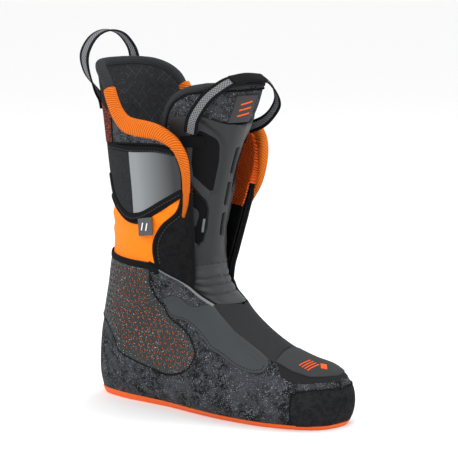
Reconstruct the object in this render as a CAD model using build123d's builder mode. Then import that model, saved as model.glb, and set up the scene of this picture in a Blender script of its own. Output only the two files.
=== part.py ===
"""Inner boot (liner) of a ski-touring boot, right foot, as separate sewn pieces.

Frame, in millimetres: +X towards the toe, +Y towards the inner side of the foot, +Z up.
The origin is on the flat underside of the sole, at the back of the heel.
"""

import os
from math import cos, log, pi, sin

from build123d import *

os.makedirs("parts", exist_ok=True)

# ---------------------------------------------------------------- driving dimensions
SKIN = 2.0           # outer fabric, moulded and printed panels
LINING = 7.0         # depth at which the foam ends and the lining begins
WALL = 8.0           # whole wall: outer fabric, foam and lining
HALF_SKIN = 1.0      # perforated panel over its orange backing
SOLE_HEEL = 7.0      # outsole thickness at the heel
SOLE_TOE = 4.0       # outsole thickness at the toe
TOE_X = 277.0        # tip of the toe
BOARD = 2.0          # lasting board on the outsole
INSOLE = 4.0         # removable footbed
GAP = 0.4            # between pieces that move apart
REACH = 120.0        # further out than anything on either side
POINTS_AROUND = 16   # points of one cross-section

# Cross-sections from the toe to the top, fanned about the instep. Each row holds the front
# point (x, z), the back point (x, z), the half width, the shift of its middle towards +Y, the
# place of its widest point from front (0) to back (1), and how square its front is (lower is
# squarer).
SHELL = [
    (277, 30, 277, 20, 8, 11, 0.50, 0.80),
    (275, 42, 275, 8, 19, 11, 0.50, 0.80),
    (269, 52, 270, -1, 28, 11, 0.55, 0.80),
    (259, 59, 260, -6, 35, 10, 0.58, 0.80),
    (240, 64, 240, -8, 42, 7, 0.62, 0.80),
    (212, 74, 206, -8, 48, 3, 0.64, 0.80),
    (184, 91, 165, -8, 49, 0, 0.64, 0.80),
    (164, 108, 122, -8, 46, -1, 0.62, 0.80),
    (154, 121, 80, -9, 42, -1, 0.58, 0.80),
    (148, 132, 30, -12, 41, -1, 0.54, 0.80),
    (145, 141, -7, -5, 41, 0, 0.50, 0.75),
    (143, 150, -15, 20, 43, 0, 0.50, 0.70),
    (143, 160, -12, 52, 46, 0, 0.48, 0.65),
    (145, 175, -4, 86, 48, 0, 0.46, 0.60),
    (149, 195, 4, 118, 51, 0, 0.45, 0.55),
    (155, 218, 9, 152, 54, 1, 0.45, 0.50),
    (159, 240, 9, 195, 58, 2, 0.45, 0.45),
    (162, 262, 5, 238, 62, 2, 0.45, 0.45),
    (165, 285, 0, 278, 64, 2, 0.45, 0.45),
    (168, 308, -6, 318, 66, 1, 0.45, 0.45),
    (171, 332, -12, 355, 67, 1, 0.45, 0.45),
]
BLUNT = 2            # sections left off the toe end of a deep inner surface
FOOT_ROWS = 16       # sections of the foot part, from the toe
CUFF_ROWS = 12       # the cuff part starts at this section

# Tongue: front point (x, z), half width and depth of a half-oval section.
TONGUE = [
    (160, 106, 22, 22),
    (149, 114, 24, 25),
    (140, 124, 26, 28),
    (134, 138, 28, 30),
    (131, 154, 31, 33),
    (132, 172, 34, 36),
    (136, 194, 37, 40),
    (145, 230, 41, 47),
    (158, 268, 44, 55),
    (171, 298, 49, 60),
    (177, 318, 51, 62),
]

# Side view (x, z): where the foot part ends, and the two edges of the cuff.
FOOT_TOP = [(-40, 151), (-10, 149), (29, 146), (60, 144), (86, 143), (98, 138), (110, 131),
            (122, 123), (134, 114), (147, 107), (166, 106)]
CUFF_BOTTOM = [(-40, 204), (5, 203), (25, 200), (42, 190), (60, 182), (78, 182), (95, 191),
               (108, 198), (121, 206), (131, 212), (142, 214)]
CUFF_EDGE = [(142, 214), (141, 234), (139, 248), (133, 261), (122, 270), (104, 274), (85, 274),
             (66, 276), (51, 283), (42, 294), (36, 306), (27, 318), (14, 328), (-3, 333),
             (-40, 334)]
COLLAR_LINE = [(135, 214), (133, 232), (130, 247), (126, 255), (117, 263), (102, 267), (82, 267),
               (60, 269), (44, 277), (35, 289), (29, 304)]
FLAP_BACK = [(131, 212), (123, 194), (106, 180), (96, 166), (93, 154), (94, 142)]
FLAP_FRONT = [(124, 122), (129, 148), (134, 178), (138, 212)]
TONGUE_EDGE = [(104, 140), (100, 165), (97, 200), (97, 235), (101, 268), (108, 289), (119, 302),
               (134, 310), (150, 313), (185, 313)]
PIPING_EDGE = [(101, 140), (97, 165), (94, 200), (94, 236), (98, 270), (105, 292), (117, 306),
               (133, 313.5), (150, 316.5), (185, 316.5)]

# Webbing: (middle of the band, direction that its wide face looks in).
REAR_LOOP = [((-11, -24, 304), (-0.6, -0.8, 0)), ((-15, -33, 322), (-0.3, -0.95, 0)),
             ((-18, -33, 341), (0, -0.95, 0.3)), ((-19, -20, 356), (0, -0.5, 0.87)),
             ((-19, 0, 362), (0, 0, 1)), ((-18, 20, 357), (0, 0.5, 0.87)),
             ((-16, 34, 342), (0, 0.9, 0.4)), ((-13, 39, 322), (-0.2, 0.97, 0)),
             ((-9, 38, 304), (-0.5, 0.85, 0))]
HANDLE = [((133, -40.5, 270), (0.55, -0.83, 0)), ((142, -46, 285), (0.6, -0.75, 0.1)),
          ((155, -44, 302.5), (0.6, -0.65, 0.4)), ((169, -40, 314), (0.6, -0.5, 0.6)),
          ((174, -27, 320.5), (0.5, -0.3, 0.8)), ((177, -7, 323), (0.45, 0, 0.9)),
          ((178, 12, 321), (0.5, 0.25, 0.8)), ((176, 30, 310), (0.6, 0.5, 0.55)),
          ((171, 41, 297), (0.45, 0.8, 0.3)), ((162, 43, 285), (0.35, 0.9, -0.1)),
          ((150, 43.5, 276), (0.3, 0.95, -0.2)), ((135, 42.5, 270), (0.4, 0.9, -0.2))]
BAND_WIDTH = 13.0
BAND_THICK = 1.8
SLEEVE_WIDTH = 16.0
SLEEVE_THICK = 4.6


# ---------------------------------------------------------------- tools for building
def save(name, part):
    """Label one finished piece and write it to its own file."""
    part.label = name
    export_step(part, f"parts/{name}.step")
    print(f"{name:24s} {part.volume:10.0f} mm3, {len(part.solids())} solids")


def fan_plane(row):
    """Plane of one cross-section: x from its front point to its back point, y along +Y."""
    front = Vector(row[0], 0, row[1])
    back = Vector(row[2], 0, row[3])
    return Plane(front, x_dir=back - front, z_dir=(back - front).cross(Vector(0, 1, 0)))


def shell_outline(row, inset):
    """Points around one cross-section of the shell, moved in by the inset."""
    length = ((row[2] - row[0]) ** 2 + (row[3] - row[1]) ** 2) ** 0.5 - 2 * inset
    half_width, shift, widest, front_power = row[4] - inset, row[5], row[6], row[7]
    points = []
    for step in range(POINTS_AROUND):
        angle = 2 * pi * step / POINTS_AROUND
        along = ((1 - cos(angle)) / 2) ** (log(widest) / log(0.5))
        power = front_power if cos(angle) > 0 else 0.8
        out = half_width * abs(sin(angle)) ** power
        side = 1 if sin(angle) > 0 else -1
        points.append((inset + along * length, shift + side * out))
    return points


def even_spline(points):
    """Closed curve whose parameter is the number of the point, the same on every section."""
    return Edge.make_spline([Vector(*point) for point in points], periodic=True,
                            parameters=[float(number) for number in range(len(points) + 1)])


def shell_loft(rows, inset):
    """Smooth solid through some of the cross-sections, moved in by the inset."""
    with BuildPart() as solid:
        for row in rows:
            with BuildSketch(fan_plane(row)):
                with BuildLine():
                    add(even_spline(shell_outline(row, inset)))
                make_face()
        loft()
    return solid.part


def foot_solid(inset):
    """The foot part up to the ankle, cut off flat at the ground."""
    first = 0 if inset <= HALF_SKIN else 1 if inset <= SKIN else BLUNT
    with BuildPart() as solid:
        add(shell_loft(SHELL[first:FOOT_ROWS], inset))
        split(bisect_by=Plane.XY, keep=Keep.TOP)
    return solid.part


def cuff_solid(inset):
    """The leg part from the ankle up."""
    return shell_loft(SHELL[CUFF_ROWS:], inset)


def tongue_solid(inset):
    """The oval column that the tongue is cut from, moved in by the inset."""
    with BuildPart() as solid:
        for front_x, z, half_width, depth in TONGUE:
            with BuildSketch(Plane.XY.offset(z)):
                with Locations((front_x - depth, 0)):
                    Ellipse(depth - inset, half_width - inset)
        loft()
    return solid.part


def side_region(curve, corners=(), side=0, smooth=True):
    """Prism across the boot from a side view outline: a curve, then straight corners.

    side is 0 for the whole width, -1 for the outer half (-Y) and 1 for the inner half (+Y).
    """
    with BuildPart() as prism:
        with BuildSketch(Plane.XZ):
            with BuildLine():
                if smooth:
                    Spline(*curve)
                else:
                    Polyline(*curve)
                Polyline(curve[-1], *corners, curve[0])
            make_face()
        if side:
            extrude(amount=-REACH * side)
        else:
            extrude(amount=REACH, both=True)
    return prism.part


def block(low, high):
    """A plain cutting block between two corners."""
    with BuildPart() as cutter:
        with Locations((Vector(*low) + Vector(*high)) * 0.5):
            Box(*(b - a for a, b in zip(low, high)))
    return cutter.part


def piece(layer, *cuts, keep=()):
    """What is left of a layer inside every kept region and outside every cut."""
    with BuildPart() as result:
        add(layer)
        for region in keep:
            add(region, mode=Mode.INTERSECT)
        for region in cuts:
            add(region, mode=Mode.SUBTRACT)
    return result.part


def shifted(curve, dx, dz):
    """A side view curve moved bodily."""
    return [(x + dx, z + dz) for x, z in curve]


# ---------------------------------------------------------------- nested surfaces
foot = {inset: foot_solid(inset) for inset in (0, HALF_SKIN, SKIN, LINING, WALL)}
cuff = {inset: cuff_solid(inset) for inset in (0, SKIN, LINING, WALL)}
tongue = {inset: tongue_solid(inset) for inset in (0, HALF_SKIN, SKIN, LINING, WALL)}

SOLE_TOP = [(-60, SOLE_HEEL), (TOE_X + 20, SOLE_TOE)]
BOARD_TOP = shifted(SOLE_TOP, 0, BOARD)
INSOLE_TOP = shifted(BOARD_TOP, 0, INSOLE)


def below(line, floor=-50):
    """Region under a straight line in the side view."""
    (x0, _), (x1, _) = line[0], line[-1]
    return side_region(line, [(x1, floor), (x0, floor)], smooth=False)


foot_region = side_region(FOOT_TOP, [(320, 106), (320, -20), (-40, -20)])
foot_wall = piece(foot_region, below(BOARD_TOP))
above_sole = piece(foot_region, below(SOLE_TOP))

# ---------------------------------------------------------------- sole, board and footbed
save("outsole", piece(foot[0], keep=[below(SOLE_TOP)]))
save("lasting_board", piece(foot[SKIN], below(SOLE_TOP), keep=[below(BOARD_TOP)]))
save("insole", piece(foot[WALL], below(BOARD_TOP), keep=[below(INSOLE_TOP)]))

# ---------------------------------------------------------------- foot: foam, lining, fabric
save("foot_padding", piece(foot[SKIN], foot[LINING], keep=[foot_wall]))
save("foot_lining", piece(foot[LINING], foot[WALL], keep=[foot_wall]))

TOE_SEAM = 222
toe_cap_region = side_region(
    [(248, -20), (248, 36), (256, 41), (267, 43), (300, 43)], [(300, -20)], smooth=False)
toe_gusset_region = side_region(
    [(TOE_SEAM, 59), (233, 47), (245, 42), (256, 41), (267, 43), (300, 43)],
    [(300, 50), (258, 49.5), (240, 53)], smooth=False)
toe_flap_region = side_region(
    [(TOE_SEAM, 59), (240, 53), (258, 49.5), (300, 50)], [(300, 90), (TOE_SEAM, 90)], smooth=False)
instep_region = side_region(
    [(146, 107), (156, 97), (174, 83), (192, 73), (214, 61), (TOE_SEAM, 59)],
    [(TOE_SEAM, 130), (146, 130)], smooth=False)
overlay_curve = [(96, 107), (100, 110), (108, 112), (116, 109), (124, 104), (131, 103), (146, 106)]
overlay_corners = [(156, 96.5), (174, 82.5), (192, 72.5), (214, 60.5), (216, 54), (214, 50),
                   (203, 50), (188, 54), (171, 62), (158, 67), (147, 75), (136, 82), (122, 89),
                   (107, 91), (100, 97)]
ankle_curve = [(86, 133), (85, 123), (90, 108), (96, 101), (102, 92), (111, 86), (124, 79),
               (134, 70), (141, 61), (139, 52), (131, 44), (117, 38), (102, 36), (84, 39),
               (60, 43), (37, 50), (30, 63), (12, 76)]
ankle_corners = [(-60, 82), (-60, 141), (37, 138), (68, 139)]
throat_curve = [(98, 138), (110, 131), (122, 123), (134, 114), (147, 107)]

foot_skin = piece(foot[0], foot[SKIN], keep=[above_sole])
both_sides = {"right": -1, "left": 1}
taken = [toe_cap_region, toe_gusset_region, toe_flap_region, instep_region]
save("toe_cap", piece(foot_skin, keep=[toe_cap_region]))
save("toe_gusset", piece(foot_skin, keep=[toe_gusset_region]))
save("toe_flap", piece(foot_skin, keep=[toe_flap_region]))
save("instep_panel", piece(foot_skin, keep=[instep_region]))

for hand, side in both_sides.items():
    overlay_region = side_region(overlay_curve, overlay_corners, side)
    ankle_region = side_region(ankle_curve, ankle_corners, side)
    throat_region = side_region(throat_curve, shifted(throat_curve, -2.5, -3)[::-1], side)
    save(f"side_overlay_{hand}", piece(foot_skin, instep_region, keep=[overlay_region]))
    save(f"ankle_panel_{hand}", piece(foot[0], foot[HALF_SKIN], overlay_region,
                                      keep=[above_sole, ankle_region]))
    save(f"ankle_backing_{hand}", piece(foot[HALF_SKIN], foot[SKIN], overlay_region,
                                        keep=[above_sole, ankle_region]))
    save(f"throat_edge_{hand}", piece(foot_skin, ankle_region, overlay_region, instep_region,
                                      keep=[throat_region]))
    taken += [overlay_region, ankle_region, throat_region]

shell_rest = piece(foot_skin, *taken)
save("foot_shell", Compound(shell_rest.solids().filter_by(lambda solid: solid.volume > 300)))

# ---------------------------------------------------------------- stretch ankle and flaps
gusset_region = side_region(
    shifted(FOOT_TOP[:5], 0, GAP),
    [(94, 143.4), *FLAP_BACK[-2::-1], *shifted(CUFF_BOTTOM[:9], 0, -GAP)[::-1]], smooth=False)
over_gusset = side_region(shifted(CUFF_BOTTOM, 0, -GAP), [(142, 400), (-40, 400)])
under_gusset = side_region(shifted(FOOT_TOP, 0, GAP), [(320, 106.4), (320, -20), (-40, -20)])
save("achilles_gusset", piece(cuff[SKIN], cuff[LINING], over_gusset, under_gusset,
                              keep=[gusset_region]))

for hand, side in both_sides.items():
    flap_region = side_region(
        [*FLAP_BACK[::-1]],
        [(132, 211), (137, 213), *FLAP_FRONT[-2::-1], *shifted(throat_curve[2::-1], 0, GAP)],
        side, smooth=False)
    save(f"front_flap_{hand}", piece(cuff[SKIN], cuff[LINING], gusset_region, keep=[flap_region]))

# ---------------------------------------------------------------- cuff
above_bottom = side_region(CUFF_BOTTOM, [(142, 400), (-40, 400)])
under_edge = side_region(CUFF_EDGE, [(-40, 100), (142, 100)])
collar_region = side_region(COLLAR_LINE, [(20, 330), (60, 420), (300, 420), (300, 180), (135, 180)])
rim_region = piece(side_region([(-40, 325), (-3, 324), (12, 319), (22, 311), (29, 303)],
                               [(60, 303), (60, 420), (-40, 420)]), collar_region)
cuff_region = piece(above_bottom, keep=[under_edge])
cuff_body = piece(cuff[0], cuff[LINING], keep=[cuff_region])
cuff_skin = piece(cuff_body, cuff[SKIN], collar_region, rim_region)
cuff_inside = piece(cuff[LINING], cuff[WALL], keep=[cuff_region])

window_region = side_region(
    [(29, 250), (72, 249.5), (106, 252), (128, 249), (132, 234), (131, 217), (108, 204), (81, 191),
     (60, 188), (40, 199), (30, 225)], smooth=False)
yoke_region = side_region(
    [(42, 254), (88, 256.5), (113, 257), (127, 254), (140, 262), (120, 278), (60, 282), (42, 290)],
    smooth=False)
mesh_region = side_region([(10, 251), (42, 254), (42, 300), (10, 300)], smooth=False)
edging_region = side_region(
    [(28, 214), (40, 199), (60, 188), (81, 191), (108, 204), (131, 217), (142, 222)],
    [(142, 170), (28, 170)], smooth=False)

save("rim_binding", piece(cuff_body, keep=[rim_region]))
save("cuff_padding", piece(cuff_body, cuff_skin, collar_region, rim_region))
save("cuff_shell", piece(cuff_skin, window_region, yoke_region, mesh_region, edging_region))

for hand, side in both_sides.items():
    half = block((-100, min(0, side * REACH), 100), (250, max(0, side * REACH), 420))
    wing_region = side_region([(96, 170), (96, 420), (300, 420), (300, 170)], smooth=False)
    save(f"collar_roll_{hand}", piece(cuff_body, rim_region, keep=[collar_region, half]))
    save(f"window_panel_{hand}", piece(cuff_skin, keep=[window_region, half]))
    save(f"yoke_panel_{hand}", piece(cuff_skin, keep=[yoke_region, half]))
    save(f"rear_mesh_{hand}", piece(cuff_skin, keep=[mesh_region, half]))
    save(f"panel_edging_{hand}", piece(cuff_skin, window_region, keep=[edging_region, half]))
    save(f"wing_lining_{hand}", piece(cuff_inside, keep=[wing_region, half]))

save("cuff_lining", piece(cuff_inside, wing_region))

with BuildPart() as side_tag:
    with Locations(Location((87, -54.15, 178.5), (-4, -8, 0))):
        Box(18, 1, 17)
save("side_tag", side_tag.part)

loop_tabs = piece(cuff_solid(-1.6), cuff[0], keep=[block((-40, -31, 285), (20, -17, 302.5))])
loop_tabs += piece(cuff_solid(-1.6), cuff[0], keep=[block((-40, 31, 285), (20, 45, 302.5))])
save("rear_loop_tabs", loop_tabs)


# ---------------------------------------------------------------- webbing
def webbing(path, width, thick):
    """A flat band through the given middles, its wide face turned as each row says."""
    with BuildPart() as band:
        for index, (middle, face) in enumerate(path):
            before = path[max(index - 1, 0)][0]
            after = path[min(index + 1, len(path) - 1)][0]
            along = Vector(*after) - Vector(*before)
            with BuildSketch(Plane(middle, x_dir=along.cross(Vector(*face)), z_dir=along)):
                Rectangle(width, thick)
        loft()
    return band.part


handle_strap = webbing(HANDLE, BAND_WIDTH, BAND_THICK)
save("rear_loop", webbing(REAR_LOOP, BAND_WIDTH, BAND_THICK))
save("handle_strap", handle_strap)
save("handle_sleeve", piece(webbing(HANDLE[4:7], SLEEVE_WIDTH, SLEEVE_THICK), handle_strap))

# ---------------------------------------------------------------- tongue
tongue_region = side_region(TONGUE_EDGE, [(230, 313), (230, 140)])
piping_region = side_region(PIPING_EDGE, [(230, 316.5), (230, 140)])
plate_region = side_region(
    [(110, 140), (106, 165), (104, 200), (104, 236), (107, 262), (113, 284)],
    [(140, 287), (150, 284), (158, 278), (166, 276), (230, 276), (230, 140)])
recess_outline = [(128, 272), (151, 268), (153, 255), (150, 233), (141, 206), (134, 211),
                  (128, 222), (121, 230), (119, 255)]
tongue_body = piece(tongue[0], tongue[WALL])
tongue_skin = piece(tongue[0], tongue[SKIN], keep=[tongue_region])
recess = {hand: piece(side_region(recess_outline, smooth=False),
                      keep=[block((90, min(6 * side, REACH * side), 150),
                                  (230, max(6 * side, REACH * side), 320))])
          for hand, side in both_sides.items()}

save("shin_plate", piece(tongue_skin, recess["right"], recess["left"], keep=[plate_region]))
for hand in both_sides:
    save(f"shin_insert_{hand}", piece(tongue[HALF_SKIN], tongue[SKIN],
                                      keep=[tongue_region, recess[hand]]))
save("tongue_face", piece(tongue_skin, plate_region))
save("tongue_pad", piece(tongue[SKIN], tongue[LINING], keep=[tongue_region]))
save("tongue_lining", piece(tongue[LINING], tongue[WALL], keep=[tongue_region]))
save("tongue_piping", piece(tongue_body, tongue_region, keep=[piping_region]))
save("tongue_label", piece(tongue_solid(-0.8), tongue[0],
                           keep=[block((140, -17, 281), (220, 8, 305))]))
handle_tabs = piece(tongue_solid(-1.5), tongue[0], keep=[block((122, -60, 256), (141, -25, 267))])
handle_tabs += piece(tongue_solid(-1.5), tongue[0], keep=[block((122, 25, 256), (141, 60, 267))])
save("handle_tabs", handle_tabs)

front_half = side_region([(118, 100), (105, 142), (250, 142), (250, 100)], smooth=False)
foot_rim = piece(foot[0], foot[WALL], keep=[foot_region])
for name, low, high in (("tongue_base", 106.4, 114), ("tongue_bellows", 114.4, 139.6)):
    lower = piece(tongue_body, foot_rim, keep=[front_half, block((0, -60, low), (250, 60, high))])
    save(name, Compound(lower.solids().filter_by(lambda solid: solid.volume > 300)))
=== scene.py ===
"""Looks of the ski-touring boot liner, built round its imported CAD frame. Lengths in the tables are in
millimetres, as in the part's own source, and every Blender object is in metres."""
import bpy
import numpy as np
import bmesh
from math import cos, pi, radians, sin
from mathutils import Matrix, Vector, geometry
from mathutils.bvhtree import BVHTree


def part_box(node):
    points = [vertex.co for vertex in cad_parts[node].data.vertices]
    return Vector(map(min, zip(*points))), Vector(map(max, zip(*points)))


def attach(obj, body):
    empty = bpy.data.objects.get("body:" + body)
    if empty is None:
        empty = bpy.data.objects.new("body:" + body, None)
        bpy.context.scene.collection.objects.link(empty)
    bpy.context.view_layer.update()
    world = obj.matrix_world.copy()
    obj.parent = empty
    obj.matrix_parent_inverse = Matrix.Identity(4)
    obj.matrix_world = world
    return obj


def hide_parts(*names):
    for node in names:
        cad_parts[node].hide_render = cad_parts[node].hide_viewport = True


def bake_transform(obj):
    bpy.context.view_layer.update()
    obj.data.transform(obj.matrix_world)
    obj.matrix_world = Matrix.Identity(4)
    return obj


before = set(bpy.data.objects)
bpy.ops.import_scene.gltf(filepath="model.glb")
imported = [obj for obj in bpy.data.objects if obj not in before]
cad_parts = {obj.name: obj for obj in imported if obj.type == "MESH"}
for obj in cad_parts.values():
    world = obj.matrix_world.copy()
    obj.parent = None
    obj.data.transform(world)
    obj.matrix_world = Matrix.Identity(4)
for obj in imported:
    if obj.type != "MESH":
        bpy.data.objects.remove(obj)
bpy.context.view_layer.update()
MM = 0.001
scene = bpy.context.scene

# ---------------------------------------------------------------- camera, light and floor
AZIMUTH, ELEVATION, DISTANCE = radians(42), radians(8.3), 2200
LOOK_AT = Vector((140, 0, 160))
AIM_RIGHT, AIM_UP = 4.2, 15.5      # how far beside and above LOOK_AT the camera aims
LENS, SENSOR = 180.7, 36
FLOOR_HALF = 30                    # metres, so that its edge is never in view
away = Vector((sin(AZIMUTH) * cos(ELEVATION), -cos(AZIMUTH) * cos(ELEVATION), sin(ELEVATION)))
rightward = Vector((cos(AZIMUTH), sin(AZIMUTH), 0))
upward = away.cross(rightward)


def add_camera():
    """The camera of the main view, aimed a little above the middle of the boot."""
    camera = bpy.data.objects.new("camera", bpy.data.cameras.new("camera"))
    scene.collection.objects.link(camera)
    aim = LOOK_AT + rightward * AIM_RIGHT + upward * AIM_UP
    place = LOOK_AT + away * DISTANCE
    camera.location = place * MM
    camera.rotation_euler = (aim - place).to_track_quat("-Z", "Y").to_euler()
    camera.data.lens = LENS
    camera.data.sensor_width = SENSOR
    camera.data.clip_start = 0.05
    scene.camera = camera


def add_area(name, place, size, power):
    """A soft square lamp that looks at the middle of the boot; place and size are in metres."""
    lamp = bpy.data.objects.new(name, bpy.data.lights.new(name, "AREA"))
    scene.collection.objects.link(lamp)
    lamp.data.size = size
    lamp.data.energy = power
    lamp.location = place
    heading = Vector((0.12, 0, 0.15)) - Vector(place)
    lamp.rotation_euler = heading.to_track_quat("-Z", "Y").to_euler()


def add_studio():
    """Pale floor, pale surroundings and four large lamps."""
    world = bpy.data.worlds.new("studio")
    scene.world = world
    world.use_nodes = True
    sky = world.node_tree.nodes["Background"]
    sky.inputs["Color"].default_value = (1, 1, 1, 1)
    sky.inputs["Strength"].default_value = 1.05
    scene.view_settings.view_transform = "Standard"
    add_area("key", (0.9, -1.6, 1.5), 0.7, 16)
    add_area("fill", (-1.6, -0.9, 1.0), 0.8, 9)
    add_area("top", (0.1, 0.5, 1.9), 0.9, 12)
    add_area("rim", (1.5, 1.2, 0.9), 0.7, 8)
    corners = [(x * FLOOR_HALF, y * FLOOR_HALF, 0) for x, y in ((-1, -1), (1, -1), (1, 1), (-1, 1))]
    mesh = bpy.data.meshes.new("floor")
    mesh.from_pydata(corners, [], [(0, 1, 2, 3)])
    floor = bpy.data.objects.new("floor", mesh)
    scene.collection.objects.link(floor)
    paint = bpy.data.materials.new("floor")
    paint.use_nodes = True
    surface = paint.node_tree.nodes["Principled BSDF"]
    surface.inputs["Base Color"].default_value = (0.9, 0.9, 0.9, 1)
    surface.inputs["Roughness"].default_value = 0.8
    mesh.materials.append(paint)


# ---------------------------------------------------------------- the surfaces of the design
# Front point (x, z), back point (x, z), half width, shift of the middle towards the inner side,
# share of the way back at which the section is widest, and power of its front half (1 is an oval).
SHELL = [
    (278, 25.4, 278, 24.6, 0.6, 11, 0.50, 0.80), (277.8, 28, 277.8, 22, 4.8, 11, 0.50, 0.80),
    (277, 30, 277, 20, 8, 11, 0.50, 0.80), (275, 42, 275, 8, 19, 11, 0.50, 0.80),
    (269, 52, 270, -1, 28, 11, 0.55, 0.80), (259, 59, 260, -6, 35, 10, 0.58, 0.80),
    (240, 64, 240, -8, 42, 7, 0.62, 0.80), (212, 74, 206, -8, 48, 3, 0.64, 0.80),
    (184, 91, 165, -8, 49, 0, 0.64, 0.80), (164, 108, 122, -8, 46, -1, 0.62, 0.80),
    (154, 121, 80, -9, 42, -1, 0.58, 0.80), (148, 132, 30, -12, 41, -1, 0.54, 0.80),
    (145, 141, -7, -5, 41, 0, 0.50, 0.75), (143, 150, -15, 20, 43, 0, 0.50, 0.70),
    (143, 160, -12, 52, 46, 0, 0.48, 0.65), (145, 175, -4, 86, 48, 0, 0.46, 0.60),
    (149, 195, 4, 118, 51, 0, 0.45, 0.55), (155, 218, 9, 152, 54, 1, 0.45, 0.50),
    (159, 240, 9, 195, 58, 2, 0.45, 0.45), (162, 262, 5, 238, 62, 2, 0.45, 0.45),
    (165, 285, 0, 278, 64, 2, 0.45, 0.45), (168, 308, -6, 318, 66, 1, 0.45, 0.45),
    (171, 332, -12, 355, 67, 1, 0.45, 0.45),
]
# Front point (x, z), half width and depth of the half-oval of the tongue.
TONGUE = [(160, 106, 22, 22), (149, 114, 24, 25), (140, 124, 26, 28), (134, 138, 28, 30),
          (131, 154, 31, 33), (132, 172, 34, 36), (136, 194, 37, 40), (145, 230, 41, 47),
          (158, 268, 44, 55), (171, 298, 49, 60), (177, 318, 51, 62)]


ROUND = 55.0                       # millimetres of flat map for one radian round the boot


def travelled(points):
    """How far along a line each of its points is."""
    return np.concatenate([[0], np.cumsum(np.linalg.norm(np.diff(points, axis=0), axis=1))])


class Skin:
    """A surface through cross-sections. v runs along the sections, angle runs round them from the
    front (0) over the outer side (-Y) to the back (pi); negative angles are the inner side (+Y)."""

    TABLE = 50               # samples of v for each section

    def __init__(self, rows, back_power):
        self.rows = np.array(rows, float)
        self.back_power = back_power
        step = np.diff(self.rows, axis=0)
        slope = np.zeros_like(self.rows)
        product = step[:-1] * step[1:]
        total = step[:-1] + step[1:]
        slope[1:-1] = np.where(product > 0, 2 * product / np.where(total == 0, 1, total), 0)
        slope[0], slope[-1] = step[0], step[-1]
        self.slope = slope
        self.last = len(rows) - 1
        self.v_table = np.linspace(0, self.last, self.TABLE * self.last + 1)
        side = self.place(self.v_table, np.full_like(self.v_table, pi / 2))
        self.arc_table = travelled(side)

    def row(self, v):
        """The section at v, from a smooth curve through the given ones that never overshoots."""
        v = np.clip(v, 0, self.last)
        index = np.minimum(v.astype(int), self.last - 1)
        f = (v - index)[:, None]
        a, b = self.rows[index], self.rows[index + 1]
        da, db = self.slope[index], self.slope[index + 1]
        return (a * (2 * f ** 3 - 3 * f ** 2 + 1) + da * (f ** 3 - 2 * f ** 2 + f)
                + b * (3 * f ** 2 - 2 * f ** 3) + db * (f ** 3 - f ** 2))

    def place(self, v, angle, lift=0.0):
        """Points on the surface, in millimetres, lifted along its normal."""
        v, angle = np.broadcast_arrays(np.asarray(v, float), np.asarray(angle, float))
        row = self.row(v)
        share = (1 - np.cos(angle)) / 2
        along = share ** (np.log(row[:, 6]) / np.log(0.5))
        power = np.where(np.cos(angle) > 0, row[:, 7], self.back_power)
        out = row[:, 4] * np.abs(np.sin(angle)) ** power
        x = row[:, 0] + (row[:, 2] - row[:, 0]) * along
        z = row[:, 1] + (row[:, 3] - row[:, 1]) * along
        y = row[:, 5] - np.sign(np.sin(angle)) * out
        points = np.stack([x, y, z], 1)
        if np.any(lift):
            points = points + self.normal(v, angle) * np.broadcast_to(lift, v.shape)[:, None]
        return points

    def normal(self, v, angle):
        """Outward unit normals."""
        dv = self.place(v + 0.05, angle) - self.place(v - 0.05, angle)
        da = self.place(v, angle + 0.04) - self.place(v, angle - 0.04)
        normal = np.cross(dv, da)
        return normal / np.maximum(np.linalg.norm(normal, axis=1, keepdims=True), 1e-9)

    def find(self, xz):
        """(v, angle) of side view points; those beyond the outline land on the front or back line."""
        xz = np.asarray(xz, float)
        rows = self.row(self.v_table)
        front, back = rows[:, 0:2], rows[:, 2:4]
        chord = back - front
        gap = xz[:, None, :] - front[None]
        cross = chord[None, :, 0] * gap[..., 1] - chord[None, :, 1] * gap[..., 0]
        turn = (cross[:, :-1] > 0) != (cross[:, 1:] > 0)
        nearer_end = np.where(np.abs(cross[:, 0]) < np.abs(cross[:, -1]), 0, len(self.v_table) - 2)
        first = np.where(turn.any(1), turn.argmax(1), nearer_end)
        pick = np.arange(len(xz))
        c0, c1 = cross[pick, first], cross[pick, first + 1]
        part = np.clip(c0 / np.where(c0 == c1, 1, c0 - c1), 0, 1)
        v = self.v_table[first] + part * (self.v_table[1] - self.v_table[0])
        row = self.row(v)
        chord = row[:, 2:4] - row[:, 0:2]
        along = ((xz - row[:, 0:2]) * chord).sum(1) / np.maximum((chord ** 2).sum(1), 1e-9)
        along = np.clip(along, 0, 1)
        share = along ** (np.log(0.5) / np.log(row[:, 6]))
        return v, np.arccos(np.clip(1 - 2 * share, -1, 1))

    def find_front(self, yz):
        """(v, angle) of front view points (distance from the middle, z) on an upright surface."""
        yz = np.asarray(yz, float)
        v = np.interp(yz[:, 1], self.rows[:, 1], np.arange(self.last + 1))
        return v, np.arcsin(np.clip(yz[:, 0] / self.row(v)[:, 4], 0, 1))

    def flat(self, v, angle):
        """A flat map of the surface, roughly in millimetres."""
        return np.stack([np.interp(v, self.v_table, self.arc_table), angle * ROUND], 1)

    def unflat(self, plane):
        """(v, angle) of points of the flat map."""
        return np.interp(plane[:, 0], self.arc_table, self.v_table), plane[:, 1] / ROUND


shell = Skin(SHELL, 0.8)
tongue = Skin([(x, z, x - 2 * depth, z, half, 0, 0.5, 1.0) for x, z, half, depth in TONGUE], 1.0)


# ---------------------------------------------------------------- lines
def straight(points, step=1.5):
    """Points every step along a line with corners."""
    points = np.asarray(points, float)
    out = []
    for a, b in zip(points[:-1], points[1:]):
        count = max(1, int(np.ceil(np.linalg.norm(b - a) / step)))
        out.extend(a + (b - a) * k / count for k in range(count))
    return np.array(out + [points[-1]])


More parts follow.
